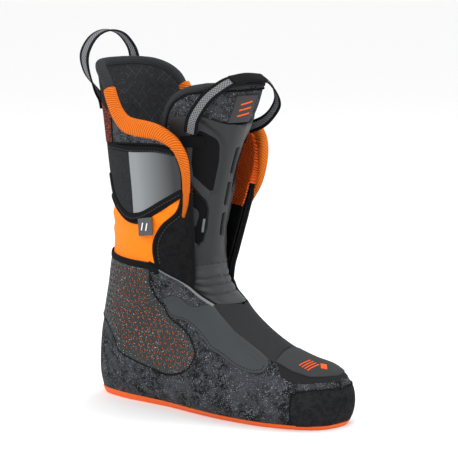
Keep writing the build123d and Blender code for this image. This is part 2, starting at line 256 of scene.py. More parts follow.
def curved(points, step=1.5):
    """Points every step along a smooth line through the given ones."""
    points = np.asarray(points, float)
    pad = np.vstack([2 * points[0] - points[1], points, 2 * points[-1] - points[-2]])
    out = []
    for k in range(1, len(pad) - 2):
        p0, p1, p2, p3 = pad[k - 1:k + 3]
        for t in np.linspace(0, 1, 12, endpoint=False):
            out.append(0.5 * (2 * p1 + (p2 - p0) * t + (2 * p0 - 5 * p1 + 4 * p2 - p3) * t ** 2
                              + (3 * p1 - p0 - 3 * p2 + p3) * t ** 3))
    return even(np.array(out + [points[-1]]), step)


def even(points, step):
    """The same line with evenly spaced points."""
    length = travelled(points)
    places = np.linspace(0, length[-1], max(3, int(round(length[-1] / step)) + 1))
    return np.stack([np.interp(places, length, column) for column in points.T], 1)


def loop(*lines):
    """One closed outline from lines that follow each other."""
    return np.vstack(lines)


def unit(vectors):
    """The same directions with a length of one."""
    return vectors / np.maximum(np.linalg.norm(vectors, axis=1, keepdims=True), 1e-9)


def on_skin(line, side=1, lift=0.0, skin=shell):
    """A side view line laid on a surface: middles, normals and directions along it."""
    v, angle = skin.find(line)
    centres = skin.place(v, side * angle, lift)
    normals = skin.normal(v, side * angle)
    return centres, normals, unit(np.gradient(centres, axis=0))


# ---------------------------------------------------------------- meshes
def make(name, points, faces, uv, paint, sharp=45):
    """A smooth mesh object from points in millimetres; uv holds one pair per face corner, in cm."""
    mesh = bpy.data.meshes.new(name)
    mesh.from_pydata((np.asarray(points) * MM).tolist(), [], faces)
    layer = mesh.uv_layers.new(name="cloth")
    layer.data.foreach_set("uv", np.asarray(uv, np.float32).ravel())
    mesh.shade_smooth()
    mesh.set_sharp_from_angle(angle=radians(sharp))
    mesh.materials.append(paint)
    made = bpy.data.objects.new(name, mesh)
    scene.collection.objects.link(made)
    return made


def inside(points, polygon):
    """Which points are inside a closed polygon."""
    hit = np.zeros(len(points), bool)
    x, y = points[:, 0], points[:, 1]
    for a, b in zip(polygon, np.roll(polygon, -1, axis=0)):
        crosses = (a[1] > y) != (b[1] > y)
        if crosses.any():
            hit ^= crosses & (x < (b[0] - a[0]) * (y - a[1]) / (b[1] - a[1] + 1e-12) + a[0])
    return hit


def distance(points, starts, ends):
    """Distance of each point from the nearest of many segments."""
    best = np.full(len(points), 1e9)
    for a, b in zip(starts, ends):
        d = b - a
        t = np.clip(((points - a) @ d) / max(d @ d, 1e-9), 0, 1)
        gap = points - a - t[:, None] * d
        best = np.minimum(best, np.einsum("ij,ij->i", gap, gap))
    return np.sqrt(best)


CLOSEST = 0.35               # outline points nearer to each other than this are merged
HOLE_SIDES = 10


def hole_rings(holes, hole_size, skin):
    """Outlines on the flat map that are round in space."""
    turns = np.linspace(0, 2 * pi, HOLE_SIDES, endpoint=False)
    ring = np.stack([np.cos(turns), np.sin(turns)], 1)
    rings = []
    for hole in holes:
        nearby = skin.place(*skin.unflat(hole + np.array([(0, 0), (1, 0), (0, 1)])))
        first, second = nearby[1] - nearby[0], nearby[2] - nearby[0]
        across = second - first * (second @ first) / (first @ first)
        basis = np.stack([first / np.linalg.norm(first), across / np.linalg.norm(across)])
        change = np.linalg.inv(np.stack([basis @ first, basis @ second], 1))
        rings.append(hole + ring @ change.T * hole_size)
    return rings


def triangulate(flat, fill, rings):
    """Points and triangles of the flat outline with its filling points and without its holes."""
    points = np.vstack([flat, *fill, *rings])
    count = len(flat)
    wires = [(k, (k + 1) % count) for k in range(count)]
    for number in range(len(rings)):
        base = len(points) - HOLE_SIDES * (len(rings) - number)
        wires += [(base + k, base + (k + 1) % HOLE_SIDES) for k in range(HOLE_SIDES)]
    found = geometry.delaunay_2d_cdt([Vector(p) for p in points], wires, [], 0, 1e-4)
    plane = np.array([tuple(p) for p in found[0]])
    triangles = np.array([face for face in found[2] if len(face) == 3])
    middles = plane[triangles].mean(1)
    good = inside(middles, flat)
    for ring in rings:
        good &= ~inside(middles, ring)
    triangles = triangles[good]
    corner = plane[triangles]
    sign = np.cross(corner[:, 1] - corner[:, 0], corner[:, 2] - corner[:, 0])
    triangles[sign < 0] = triangles[sign < 0][:, ::-1]
    used = np.unique(triangles)
    renumber = np.full(len(plane), -1)
    renumber[used] = np.arange(len(used))
    return plane[used], renumber[triangles]


def patch(name, outline, paint, sides=(1, -1), lift=0.5, edge=0.8, bottom=-1.0, skin=shell,
          relief=None, step=2.6, holes=(), hole_size=1.5, inward=False, front=False):
    """A sewn panel: a side view outline laid on a surface, with rounded edges and a closed back.

    relief adds height from (points, angle, distance from the edge). holes are flat places that are
    cut out. inward turns the good side towards the inside of the boot. front takes the outline as a
    front view (distance from the middle, z)."""
    flat = skin.flat(*(skin.find_front(outline) if front else skin.find(outline)))
    flat = flat[np.linalg.norm(flat - np.roll(flat, 1, axis=0), axis=1) > CLOSEST]
    seam = (flat[:, 1] < 1e-3) | (flat[:, 1] > pi * ROUND - 1e-3)
    mirrored = len(sides) == 2
    following = np.roll(flat, -1, axis=0)
    on_one_seam = seam & np.roll(seam, -1) & (np.abs(flat[:, 1] - following[:, 1]) < 1)
    open_edge = ~on_one_seam | (not mirrored)
    starts, ends = flat[open_edge], following[open_edge]
    area = 0.5 * np.sum(flat[:, 0] * following[:, 1] - following[:, 0] * flat[:, 1])
    along = unit(following - np.roll(flat, 1, axis=0))
    inwards = np.stack([-along[:, 1], along[:, 0]], 1) * np.sign(area)
    fill = []
    for share in (0.4, 1.0, 2.2):
        ring = flat + inwards * edge * share
        ring = ring[inside(ring, flat)]
        fill.append(ring[distance(ring, starts, ends) > 0.85 * edge * share])
    low, high = flat.min(0), flat.max(0)
    rows = np.arange(low[1], high[1], step * 0.866)
    grid = np.array([(x + (step / 2 if k % 2 else 0), y) for k, y in enumerate(rows)
                     for x in np.arange(low[0], high[0], step)])
    grid = grid[inside(grid, flat)]
    grid = grid[distance(grid, flat, following) > 2.2 * edge + 0.45 * step]
    rings = []
    if len(holes):
        holes = holes[inside(holes, flat)]
        holes = holes[distance(holes, starts, ends) > hole_size + 2.5]
        gap = np.min(np.linalg.norm(grid[:, None] - holes[None], axis=2), axis=1)
        grid = grid[gap > hole_size * 1.5]
        rings = hole_rings(holes, hole_size, skin)
    plane, triangles = triangulate(flat, [*fill, grid], rings)

    far = distance(plane, starts, ends)
    share = 1 - np.clip(far / edge, 0, 1)
    v, angle = skin.unflat(plane)
    on_seam = (plane[:, 1] < 1e-2) | (plane[:, 1] > pi * ROUND - 1e-2)
    size = len(plane)
    all_points, faces, uv = [], [], []
    tops, bottoms = [], []
    sense = -1 if inward else 1
    for side in sides:
        height = lift - edge * 0.7 * (1 - np.sqrt(1 - share ** 2))
        if relief is not None:
            height = height + relief(skin.place(v, side * angle), side * angle, far)
        start = sum(len(part) for part in all_points)
        all_points.append(skin.place(v, side * angle, sense * height))
        all_points.append(skin.place(v, side * angle, sense * bottom))
        top_number = np.arange(size) + start
        bottom_number = np.arange(size) + start + size
        if tops:
            top_number[on_seam], bottom_number[on_seam] = tops[0][on_seam], bottoms[0][on_seam]
        tops.append(top_number)
        bottoms.append(bottom_number)
        flip = (side < 0) != inward
        tri = triangles[:, ::-1] if flip else triangles
        map_uv = plane * (1, side) * 0.1
        edges = dict.fromkeys(pair for a, b, c in tri for pair in ((a, b), (b, c), (c, a)))
        rim = [pair for pair in edges if (pair[1], pair[0]) not in edges]
        if mirrored:
            rim = [(a, b) for a, b in rim
                   if not (on_seam[a] and on_seam[b] and abs(plane[a, 1] - plane[b, 1]) < 1)]
        for face in tri:
            faces.append(top_number[face].tolist())
            uv.extend(map_uv[face])
            back = face[::-1]
            faces.append(bottom_number[back].tolist())
            uv.extend(map_uv[back])
        for a, b in rim:
            faces.append([int(top_number[b]), int(top_number[a]), int(bottom_number[a]),
                          int(bottom_number[b])])
            uv.extend([map_uv[b], map_uv[a], map_uv[a], map_uv[b]])
    return make(name, np.vstack(all_points), faces, uv, paint)


def sweep(name, centres, across, up, width, thick, paint, square=2.0, rounds=14, cap=0.0):
    """A solid band along a line. across and up are its directions; width and thick are half sizes.
    square is 2 for a round section and more for a squarer one; cap is the length of a rounded end."""
    count = len(centres)
    width = np.broadcast_to(np.asarray(width, float), (count,)).copy()
    thick = np.broadcast_to(np.asarray(thick, float), (count,)).copy()
    if cap:
        along = unit(np.gradient(centres, axis=0))
        reach = np.array([0.35, 0.65, 0.85, 0.97])
        shrink = np.sqrt(1 - reach ** 2)
        front = [centres[0] - along[0] * cap * k for k in reach[::-1]]
        back = [centres[-1] + along[-1] * cap * k for k in reach]
        centres = np.vstack([front, centres, back])
        across = np.vstack([[across[0]] * 4, across, [across[-1]] * 4])
        up = np.vstack([[up[0]] * 4, up, [up[-1]] * 4])
        width = np.concatenate([width[0] * shrink[::-1], width, width[-1] * shrink])
        thick = np.concatenate([thick[0] * shrink[::-1], thick, thick[-1] * shrink])
        count = len(centres)
    turn = np.linspace(0, 2 * pi, rounds, endpoint=False)
    c = np.sign(np.cos(turn)) * np.abs(np.cos(turn)) ** (2 / square)
    s = np.sign(np.sin(turn)) * np.abs(np.sin(turn)) ** (2 / square)
    points = (centres[:, None] + across[:, None] * (width[:, None] * c)[..., None]
              + up[:, None] * (thick[:, None] * s)[..., None]).reshape(-1, 3)
    length = travelled(centres) * 0.1
    rim = travelled(np.stack([c * width.mean(), s * thick.mean()], 1)) * 0.1
    rim = np.append(rim, rim[-1] + rim[1])
    faces, uv = [], []
    for i in range(count - 1):
        j = i + 1
        for k in range(rounds):
            m = (k + 1) % rounds
            faces.append([i * rounds + k, i * rounds + m, j * rounds + m, j * rounds + k])
            uv.extend([(length[i], rim[k]), (length[i], rim[k + 1]), (length[j], rim[k + 1]),
                       (length[j], rim[k])])
    faces.append(list(range(rounds))[::-1])
    uv.extend([(length[0], 0)] * rounds)
    faces.append([(count - 1) * rounds + k for k in range(rounds)])
    uv.extend([(length[-1], 0)] * rounds)
    made = make(name, points, faces, uv, paint, sharp=60)
    tidy_normals(made)
    return made


def tidy_normals(made):
    """Turn every face of a closed mesh outwards."""
    work = bmesh.new()
    work.from_mesh(made.data)
    bmesh.ops.recalc_face_normals(work, faces=work.faces)
    work.to_mesh(made.data)
    work.free()


def puff(made, pressure, limit, frames=14):
    """Swell a closed fabric piece with a cloth simulation, which moves no point more than
    limit millimetres."""
    mesh = made.data
    rest = np.empty(len(mesh.vertices) * 3)
    mesh.vertices.foreach_get("co", rest)
    stuffed = made.modifiers.new("puff", "CLOTH")
    stuffed.settings.quality = 6
    stuffed.settings.mass = 0.2
    stuffed.settings.tension_stiffness = 10
    stuffed.settings.compression_stiffness = 10
    stuffed.settings.bending_stiffness = 0.3
    stuffed.settings.use_pressure = True
    stuffed.settings.uniform_pressure_force = pressure
    stuffed.settings.effector_weights.gravity = 0
    for number in range(1, frames + 1):
        scene.frame_set(number)
    swollen = made.evaluated_get(bpy.context.evaluated_depsgraph_get()).data
    end = np.empty_like(rest)
    swollen.vertices.foreach_get("co", end)
    made.modifiers.remove(stuffed)
    scene.frame_set(1)
    move = (end - rest).reshape(-1, 3)
    far = np.linalg.norm(move, axis=1, keepdims=True)
    move *= np.minimum(1, limit * MM / np.maximum(far, 1e-9))
    mesh.vertices.foreach_set("co", rest + move.ravel())
    mesh.update()


def strip(name, laid, width, thick, paint, **shape):
    """A band that lies on a surface; laid is what on_skin gives."""
    centres, normals, along = laid
    return sweep(name, centres, np.cross(normals, along), normals, width, thick, paint, **shape)


def cord_on(name, line, radius, side, lift, flat=1.0):
    """A piping or seam tube in black, laid along a side view line."""
    return strip(name, on_skin(line, side, lift), radius, radius * flat, BLACK_BINDING, rounds=10,
                 cap=radius)


def stitch_row(line, side=1, lift=0.0, skin=shell, length=2.4, gap=1.2, radius=0.32, turn=0.0):
    """Stitches along a side view line, as (middle, direction, normal, length, radius)."""
    centres, normals, along = on_skin(straight(line, 0.4), side, lift, skin)
    travel = travelled(centres)
    out = []
    for number, place in enumerate(np.arange(length, travel[-1] - length / 2, length + gap)):
        at = np.array([np.interp(place, travel, column) for column in centres.T])
        k = min(np.searchsorted(travel, place), len(centres) - 1)
        across = np.cross(normals[k], along[k])
        lean = turn if number % 2 else -turn
        out.append((at, along[k] * cos(lean) + across * sin(lean), normals[k], length, radius))
    return out


def sew(name, rows, paint):
    """All the stitches of some rows as one object of small rounded stitches."""
    points, faces = [], []
    stations = [(-0.5, 0.35), (-0.4, 0.85), (0, 1.0), (0.4, 0.85), (0.5, 0.35)]
    rounds = 6
    for at, along, normal, length, radius in rows:
        across = np.cross(normal, along)
        base = len(points)
        for place, size in stations:
            middle = at + along * place * length + normal * (-0.15 * abs(place) if place else 0.1)
            for turn in np.linspace(0, 2 * pi, rounds, endpoint=False):
                points.append(middle + (across * cos(turn) + normal * sin(turn)) * radius * size)
        for low in range(base, len(points) - rounds, rounds):
            for m in range(rounds):
                n = (m + 1) % rounds
                faces.append([low + m, low + n, low + rounds + n, low + rounds + m])
        faces.append([base + m for m in range(rounds)][::-1])
        faces.append([len(points) - rounds + m for m in range(rounds)])
    uv = np.zeros((sum(len(face) for face in faces), 2))
    made = make(name, np.array(points), faces, uv, paint, sharp=80)
    tidy_normals(made)
    return made


# ---------------------------------------------------------------- materials
def cloth(name, colour, second=None, patch_size=18, fleck=None, weave=None, threads=8, gap=0.35,
          depth=0.25, grain=0.3, grain_size=0.6, rough=0.9, shine=0.08, turned=0.0, painted_reflection=None):
    """A procedural fabric or film.

    second is the colour of soft blots patch_size mm wide; fleck is (colour, share) of tiny light
    specks; weave is plain, rib, ribbed, knit, net or grid with that many threads per centimetre,
    whose gaps darken by gap; depth is the height of the bump in mm and grain the part of it that is
    fine and grain_size mm wide; turned is how far the weave is turned; painted_reflection is
    (colour, start, end) of a painted reflection: a change of colour along X, in millimetres."""
    paint = bpy.data.materials.new(name)
    paint.use_nodes = True
    nodes, links = paint.node_tree.nodes, paint.node_tree.links
    surface = nodes["Principled BSDF"]
    surface.inputs["Roughness"].default_value = rough
    surface.inputs["Specular IOR Level"].default_value = shine

    def feed(socket, value):
        if hasattr(value, "is_output"):
            links.new(value, socket)
        else:
            socket.default_value = value

    def maths(kind, a, b=0.5):
        node = nodes.new("ShaderNodeMath")
        node.operation = kind
        feed(node.inputs[0], a)
        feed(node.inputs[1], b)
        return node.outputs[0]

    def times(a, b):
        return maths("MULTIPLY", a, b)

    def plus(a, b):
        return maths("ADD", a, b)

    def ridges(value):
        return maths("ABSOLUTE", maths("SINE", value))

    def blend_of(share, a, b):
        node = nodes.new("ShaderNodeMix")
        node.data_type = "RGBA"
        feed(node.inputs["Factor"], share)
        for socket, value in ((node.inputs[6], a), (node.inputs[7], b)):
            feed(socket, (*value, 1) if isinstance(value, tuple) else value)
        return node.outputs[2]

    def noise(size, detail=3, rough_noise=0.6):
        node = nodes.new("ShaderNodeTexNoise")
        links.new(place, node.inputs["Vector"])
        node.inputs["Scale"].default_value = 1000 / size
        node.inputs["Detail"].default_value = detail
        node.inputs["Roughness"].default_value = rough_noise
        return node.outputs["Fac"]

    def ramp(value, low, high):
        node = nodes.new("ShaderNodeMapRange")
        feed(node.inputs["Value"], value)
        node.inputs["From Min"].default_value = low
        node.inputs["From Max"].default_value = high
        return node.outputs[0]

    place = nodes.new("ShaderNodeTexCoord").outputs["Object"]
    look = nodes.new("ShaderNodeRGB").outputs[0]
    look.default_value = (*colour, 1)
    if second:
        look = blend_of(ramp(noise(patch_size, 5, 0.7), 0.42, 0.58), look, second)
        look = blend_of(ramp(noise(patch_size * 0.22, 3, 0.6), 0.5, 0.62), look, second)
    # Painted reflection: the colour changes along X, from the lit part of the film to its dim part.
    if painted_reflection:
        parts = nodes.new("ShaderNodeSeparateXYZ")
        links.new(place, parts.inputs[0])
        look = blend_of(ramp(parts.outputs["X"], painted_reflection[1] * MM, painted_reflection[2] * MM), look, painted_reflection[0])
    height = None
    if weave:
        uv = nodes.new("ShaderNodeUVMap")
        uv.uv_map = "cloth"
        spin = nodes.new("ShaderNodeVectorRotate")
        spin.rotation_type = "Z_AXIS"
        spin.inputs["Angle"].default_value = turned
        links.new(uv.outputs[0], spin.inputs["Vector"])
        parts = nodes.new("ShaderNodeSeparateXYZ")
        links.new(spin.outputs[0], parts.inputs[0])
        u = times(parts.outputs["X"], 2 * pi * threads)
        v = times(parts.outputs["Y"], 2 * pi * threads)
        if weave == "plain":
            height = plus(times(times(maths("SINE", u), maths("SINE", v)), 0.5), 0.5)
        elif weave == "rib":
            height = ridges(times(v, 0.5))
        elif weave == "ribbed":
            slanted = ridges(times(plus(times(u, 0.9), times(v, 0.45)), 0.5))
            beads = ridges(maths("SUBTRACT", v, times(u, 0.3)))
            height = times(slanted, plus(0.6, times(beads, 0.4)))
        elif weave == "grid":
            height = ramp(maths("MINIMUM", ridges(times(u, 0.5)), ridges(times(v, 0.5))), 0.06, 0.15)
            worn = ramp(noise(7, 2), 0.35, 0.6)
            look = blend_of(maths("MAXIMUM", height, worn), (0.13, 0.135, 0.145), look)
        elif weave == "knit":
            bend = times(ridges(times(v, 0.5)), 2.2)
            height = times(ridges(times(plus(u, bend), 0.5)), ridges(times(v, 0.5)))
        else:
            a = maths("SINE", times(plus(u, v), 0.5))
            b = maths("SINE", times(maths("SUBTRACT", u, v), 0.5))
            height = maths("SUBTRACT", 1.0, maths("ABSOLUTE", times(a, b)))
        shade = plus(times(height, gap), 1 - gap)
        dark = nodes.new("ShaderNodeVectorMath")
        dark.operation = "SCALE"
        links.new(look, dark.inputs[0])
        links.new(shade, dark.inputs["Scale"])
        look = dark.outputs[0]
    if fleck:
        grains = noise(0.9, 1, 0.5)
        if second:
            crowd = maths("SUBTRACT", noise(patch_size * 0.6, 4, 0.7), 0.5)
            grains = plus(grains, times(crowd, 0.45))
        spots = ramp(grains, 0.78 - fleck[1], 0.80 - fleck[1])
        look = blend_of(spots, look, fleck[0])
    links.new(look, surface.inputs["Base Color"])
    bump = nodes.new("ShaderNodeBump")
    bump.inputs["Strength"].default_value = 1.05
    bump.inputs["Distance"].default_value = MM * depth
    fine = times(noise(grain_size, 2), grain)
    total = fine if height is None else plus(fine, height)
    links.new(total, bump.inputs["Height"])
    links.new(bump.outputs[0], surface.inputs["Normal"])
    return paint


SOLE_ORANGE = cloth("sole_orange", (0.80, 0.13, 0.018), depth=0.12, grain_size=1.0, rough=0.6,
                    shine=0.2)
MARL = cloth("marl_fabric", (0.009, 0.010, 0.011), (0.056, 0.060, 0.067), 17,
             fleck=((0.20, 0.21, 0.23), 0.13), weave="plain", threads=11, gap=0.5, depth=0.15)
MARL_DARK = cloth("marl_dark", (0.015, 0.017, 0.019), (0.060, 0.065, 0.072), 9,
                  fleck=((0.25, 0.25, 0.27), 0.115), weave="plain", threads=12, gap=0.4, depth=0.15)
TOE_KNIT = cloth("toe_knit", (0.0145, 0.0145, 0.016), (0.031, 0.032, 0.035), 5, weave="plain",
                 threads=6, gap=0.6, depth=0.45)
GREY_WEAVE = cloth("grey_weave", (0.056, 0.057, 0.059), weave="plain", threads=7, gap=0.4,
                   depth=0.3)
STRETCH = cloth("stretch_weave", (0.041, 0.042, 0.045), weave="plain", threads=6.5, gap=0.55,
                depth=0.35)
NEOPRENE = cloth("neoprene", (0.014, 0.014, 0.0155), depth=0.08, rough=0.75)
TPU = cloth("tpu_grey", (0.027, 0.031, 0.034), depth=0.04, grain_size=0.8, rough=0.5, shine=0.3)
# The tiny light specks on this film are painted glints.
PERFORATED = cloth("perforated_grey", (0.023, 0.026, 0.026), fleck=((0.70, 0.70, 0.70), 0.078),
                   depth=0.08, rough=0.6, shine=0.2)
ORANGE_BACK = cloth("orange_backing", (0.62, 0.085, 0.010), weave="plain", threads=12, depth=0.2)
ORANGE_STRETCH = cloth("orange_stretch", (0.95, 0.205, 0.002), weave="rib", threads=14, gap=0.10,
                       depth=0.10, rough=0.62, shine=0.15)
ORANGE_MESH = cloth("orange_mesh", (0.95, 0.13, 0.016), weave="net", threads=3.4, gap=0.92,
                    depth=0.8, grain=0.15)
ORANGE_ROLL = cloth("orange_roll", (0.92, 0.20, 0.018), weave="ribbed", threads=4.5, gap=0.62,
                    depth=0.8, grain=0.15)
BLACK_FABRIC = cloth("black_fabric", (0.006, 0.006, 0.007), (0.012, 0.012, 0.013), 6, weave="plain",
                     threads=10, depth=0.2, rough=0.9)
BLACK_BINDING = cloth("black_binding", (0.008, 0.008, 0.009), weave="rib", threads=9, depth=0.3)
BLACK_KNIT = cloth("black_knit", (0.044, 0.046, 0.050), weave="knit", threads=5, gap=0.5, depth=0.5)
LINING = cloth("lining_black", (0.028, 0.029, 0.031), weave="grid", threads=1.9, depth=0.3,
               turned=pi / 4)
# The light grey of this film, darkening to dark grey from x 80 to 124 mm, is a painted reflection on
# the satin film.
REFLECTIVE = cloth("reflective", (0.27, 0.285, 0.295), depth=0.08, grain_size=0.5, rough=0.5,
                   shine=0.3, painted_reflection=((0.030, 0.032, 0.036), 80, 124), weave="plain", threads=8,
                   gap=0.45)
WINDOW_KNIT = cloth("window_knit", (0.019, 0.020, 0.023), (0.032, 0.034, 0.038), 3, weave="plain",
                    threads=7, gap=0.6, depth=0.3)
REAR_MESH = cloth("rear_mesh", (0.020, 0.016, 0.016), fleck=((0.55, 0.065, 0.02), 0.19),
                  weave="net", threads=5, depth=0.4)
TAG = cloth("tag_grey", (0.095, 0.098, 0.102), weave="plain", threads=16, depth=0.1)
TAG_PRINT = cloth("tag_print", (0.72, 0.72, 0.72), depth=0.02, rough=0.6)
WEBBING_LIGHT = cloth("webbing", (0.245, 0.25, 0.265), weave="net", threads=3.4, gap=0.9, depth=0.5)
SLEEVE = cloth("sleeve_black", (0.010, 0.010, 0.011), weave="rib", threads=8, gap=0.5, depth=0.5)
SHIN = cloth("shin_grey", (0.0125, 0.014, 0.015), depth=0.04, grain_size=0.7, rough=0.45, shine=0.35)
BELLOWS = cloth("bellows_grey", (0.026, 0.029, 0.031), depth=0.04, grain_size=0.7, rough=0.5,
                shine=0.3)
SHIN_DARK = cloth("shin_dark", (0.004, 0.004, 0.005), weave="plain", threads=10, depth=0.1,
                  rough=0.55)
# On the throat edge this light grey paints a highlight along the rim.
LIGHT_EDGE = cloth("light_edge", (0.22, 0.23, 0.24), weave="plain", threads=10, depth=0.15)
LABEL = cloth("label_grey", (0.046, 0.044, 0.046), depth=0.06, rough=0.55)
PRINT = cloth("print_orange", (0.78, 0.10, 0.010), depth=0.02, rough=0.5)
THREAD_BLACK = cloth("thread_black", (0.004, 0.004, 0.004), depth=0.05, rough=0.7)
THREAD_GREY = cloth("thread_grey", (0.06, 0.063, 0.066), depth=0.05, rough=0.7)
INSOLE_FELT = cloth("insole_grey", (0.03, 0.031, 0.033), depth=0.2, grain_size=0.9)
FOAM = cloth("foam_black", (0.007, 0.007, 0.008), depth=0.25, grain_size=0.8)


# ---------------------------------------------------------------- outlines, side view (x, z)
FOOT_TOP = [(-40, 151), (-10, 149), (29, 146), (60, 144), (86, 143), (98, 138), (110, 131),
            (122, 123), (134, 114), (147, 107), (166, 106)]
CUFF_BOTTOM = [(-40, 204), (5, 203), (25, 200), (42, 190), (60, 182), (78, 182), (95, 191),
               (108, 198), (121, 206), (131, 212), (142, 214)]
# The two borders of the orange collar roll.
ROLL_LOW = [(128, 194), (130, 205), (131.5, 217), (132.5, 232), (130.5, 246), (126, 255), (117, 263),
            (102, 267.5), (82, 268), (60, 270), (45, 279), (36, 290), (29, 303)]
ROLL_TOP = [(130.5, 190), (135, 203), (137, 217), (138.5, 234), (137.5, 246), (132, 259), (120, 269),
            (104, 275), (86, 277), (68, 280), (55, 288), (47, 298), (42, 309)]
FLAP_BACK = [(131, 212), (123, 194), (106, 180), (96, 166), (93, 154), (94, 142)]
FLAP_FRONT = [(124, 122), (129, 148), (134, 178), (138, 212)]
TONGUE_EDGE = [(104, 140), (100, 165), (97, 200), (97, 235), (101, 268), (108, 289), (119, 302),
               (134, 310), (150, 313)]
SIDES = {"right": 1, "left": -1}


# ---------------------------------------------------------------- helpers for dressing
def wear(made, body, slot, *nodes):
    """The piece rides on a body and stands for CAD nodes; slot is not used."""
    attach(made, body)
    if nodes:
        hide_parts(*nodes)
    return made


def stretch(made, bodies, start, end, slot, *nodes):
    """The piece keeps its place, baked into its points, and stands for CAD nodes."""
    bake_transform(made)
    if nodes:
        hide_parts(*nodes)
    return made


def both(line, lift=0.0, skin=shell):
    """A side view line followed on the outer side and back along the inner side."""
    right = on_skin(line, 1, lift, skin)
    left = on_skin(line, -1, lift, skin)
    centres = np.vstack([right[0], left[0][::-1][1:]])
    normals = np.vstack([right[1], left[1][::-1][1:]])
    return centres, normals, unit(np.gradient(centres, axis=0))


def tree_of(skin, low, high):
    """A surface as a search tree, for casting lines onto it."""
    steps = np.linspace(low, high, 12 * (high - low) + 1)
    turns = np.linspace(0, 2 * pi, 97)
    grid = np.array([skin.place(np.full_like(turns, v), turns) for v in steps])
    count = len(turns)
    quads = [(i * count + k, i * count + k + 1, (i + 1) * count + k + 1, (i + 1) * count + k)
             for i in range(len(steps) - 1) for k in range(count - 1)]
    return BVHTree.FromPolygons([Vector(p) for p in grid.reshape(-1, 3)], quads)


FOOT_TREE = tree_of(shell, 0, 17)          # sections of the toe up to the ankle
TONGUE_TREE = tree_of(tongue, 4, 10)       # sections above the bellows


def cast(tree, start, heading):
    """Where a line first meets a surface, and its outward normal there."""
    place, normal, _, _ = tree.ray_cast(Vector(start), Vector(heading))
    if place is None:
        raise ValueError(f"nothing to hit from {tuple(start)}")
    normal = normal if normal.dot(Vector(heading)) < 0 else -normal
    return np.array(place), np.array(normal)


def badge(name, tree, heading, corners, lift, thick, paint, cells=10, edge=0.8):
    """A small four-cornered plate cast onto a surface, with rounded edges."""
    a, b, c, d = (np.array(corner, float) for corner in corners)
    places = np.concatenate([[0, 0.02, 0.06], np.linspace(0.13, 0.87, cells), [0.94, 0.98, 1]])
    count = len(places)
    size = min(np.linalg.norm(b - a), np.linalg.norm(d - a))
    top, low = [], []
    for s in places:
        for t in places:
            start = (a * (1 - t) + b * t) * (1 - s) + (d * (1 - t) + c * t) * s
            at, normal = cast(tree, start, heading)
            far = min(s, 1 - s, t, 1 - t) * size
            share = 1 - min(far / edge, 1)
            top.append(at + normal * (lift - 0.6 * min(edge, thick) * (1 - np.sqrt(1 - share ** 2))))
            low.append(at + normal * (lift - thick))
    faces, uv = [], []
    total = count * count

    def spot(i, k):
        return (places[k] * size * 0.1, places[i] * size * 0.1)

    for i in range(count - 1):
        for k in range(count - 1):
            quad = [(i, k), (i, k + 1), (i + 1, k + 1), (i + 1, k)]
            faces.append([p * count + q for p, q in quad])
            uv.extend(spot(p, q) for p, q in quad)
            faces.append([total + p * count + q for p, q in quad[::-1]])
            uv.extend(spot(p, q) for p, q in quad[::-1])
    ring = ([(0, k) for k in range(count - 1)] + [(k, count - 1) for k in range(count - 1)]
            + [(count - 1, k) for k in range(count - 1, 0, -1)]
            + [(k, 0) for k in range(count - 1, 0, -1)])
    for (i, k), (m, n) in zip(ring, ring[1:] + ring[:1]):
        faces.append([i * count + k, m * count + n, total + m * count + n, total + i * count + k])
        uv.extend([spot(i, k), spot(m, n), spot(m, n), spot(i, k)])
    made = make(name, np.array(top + low), faces, uv, paint)
    tidy_normals(made)
    return made


def band_path(rows, step=2.0):
    """Smooth middles, directions across and facing directions of a webbing band."""
    middles = np.array([middle for middle, _ in rows], float)
    faces = np.array([face for _, face in rows], float)
    both_parts = curved(np.hstack([middles, faces * 30]), step)
    centres, face = both_parts[:, :3], unit(both_parts[:, 3:])
    along = unit(np.gradient(centres, axis=0))
    across = unit(np.cross(along, face))
    return centres, across, np.cross(across, along)


def webbing(name, rows, body, node, width=13, thick=1.8):
    """A pull band: an open-woven light middle between two black edges."""
    def fasten(made, *nodes):
        if body == "rear_loop":
            stretch(made, ("cuff", body), (-8, 0, 300), (-8, 0, 316), "webbing", *nodes)
        else:
            stretch(made, ("tongue", body), (134, 0, 270), (142, 0, 288), "webbing", *nodes)

    centres, across, facing = band_path(rows)
    middle = sweep(name, centres, across, facing, width / 2 - 1.5, thick / 2 * 0.7, WEBBING_LIGHT,
                   square=5, rounds=20)
    fasten(middle, node)
    for number, hand in ((1, "a"), (-1, "b")):
        beside = centres + across * number * (width / 2 - 1.7)
        rim = sweep(f"{name}_edge_{hand}", beside, across, facing, 1.8, thick / 2, BLACK_BINDING,
                    square=2.6, rounds=12, cap=0.8)
        fasten(rim)


# ---------------------------------------------------------------- foot
SEAM = 222                   # where the toe flap starts
TOE_EDGE = [(248, 3.6), (248, 33), (256, 37), (267, 39), (310, 39)]
OVERLAY_TOP = [(96, 107), (100, 110), (108, 112), (116, 109), (124, 104), (131, 103), (146, 107)]
OVERLAY_LOW = [(214, 60.5), (217, 56), (214, 50.5), (203, 50), (188, 54), (171, 62), (158, 67),
               (147, 75), (136, 82), (122, 89), (107, 91), (100, 97), (96, 107)]
ANKLE_LINE = [(86, 143), (86, 133), (85, 123), (90, 108), (97, 101), (102, 93), (111, 87), (124, 80),
              (134, 71), (141, 61), (139, 52), (131, 44), (117, 38), (102, 36), (84, 39), (60, 43),
              (37, 50), (32, 62), (19, 77), (0, 84), (-60, 87)]


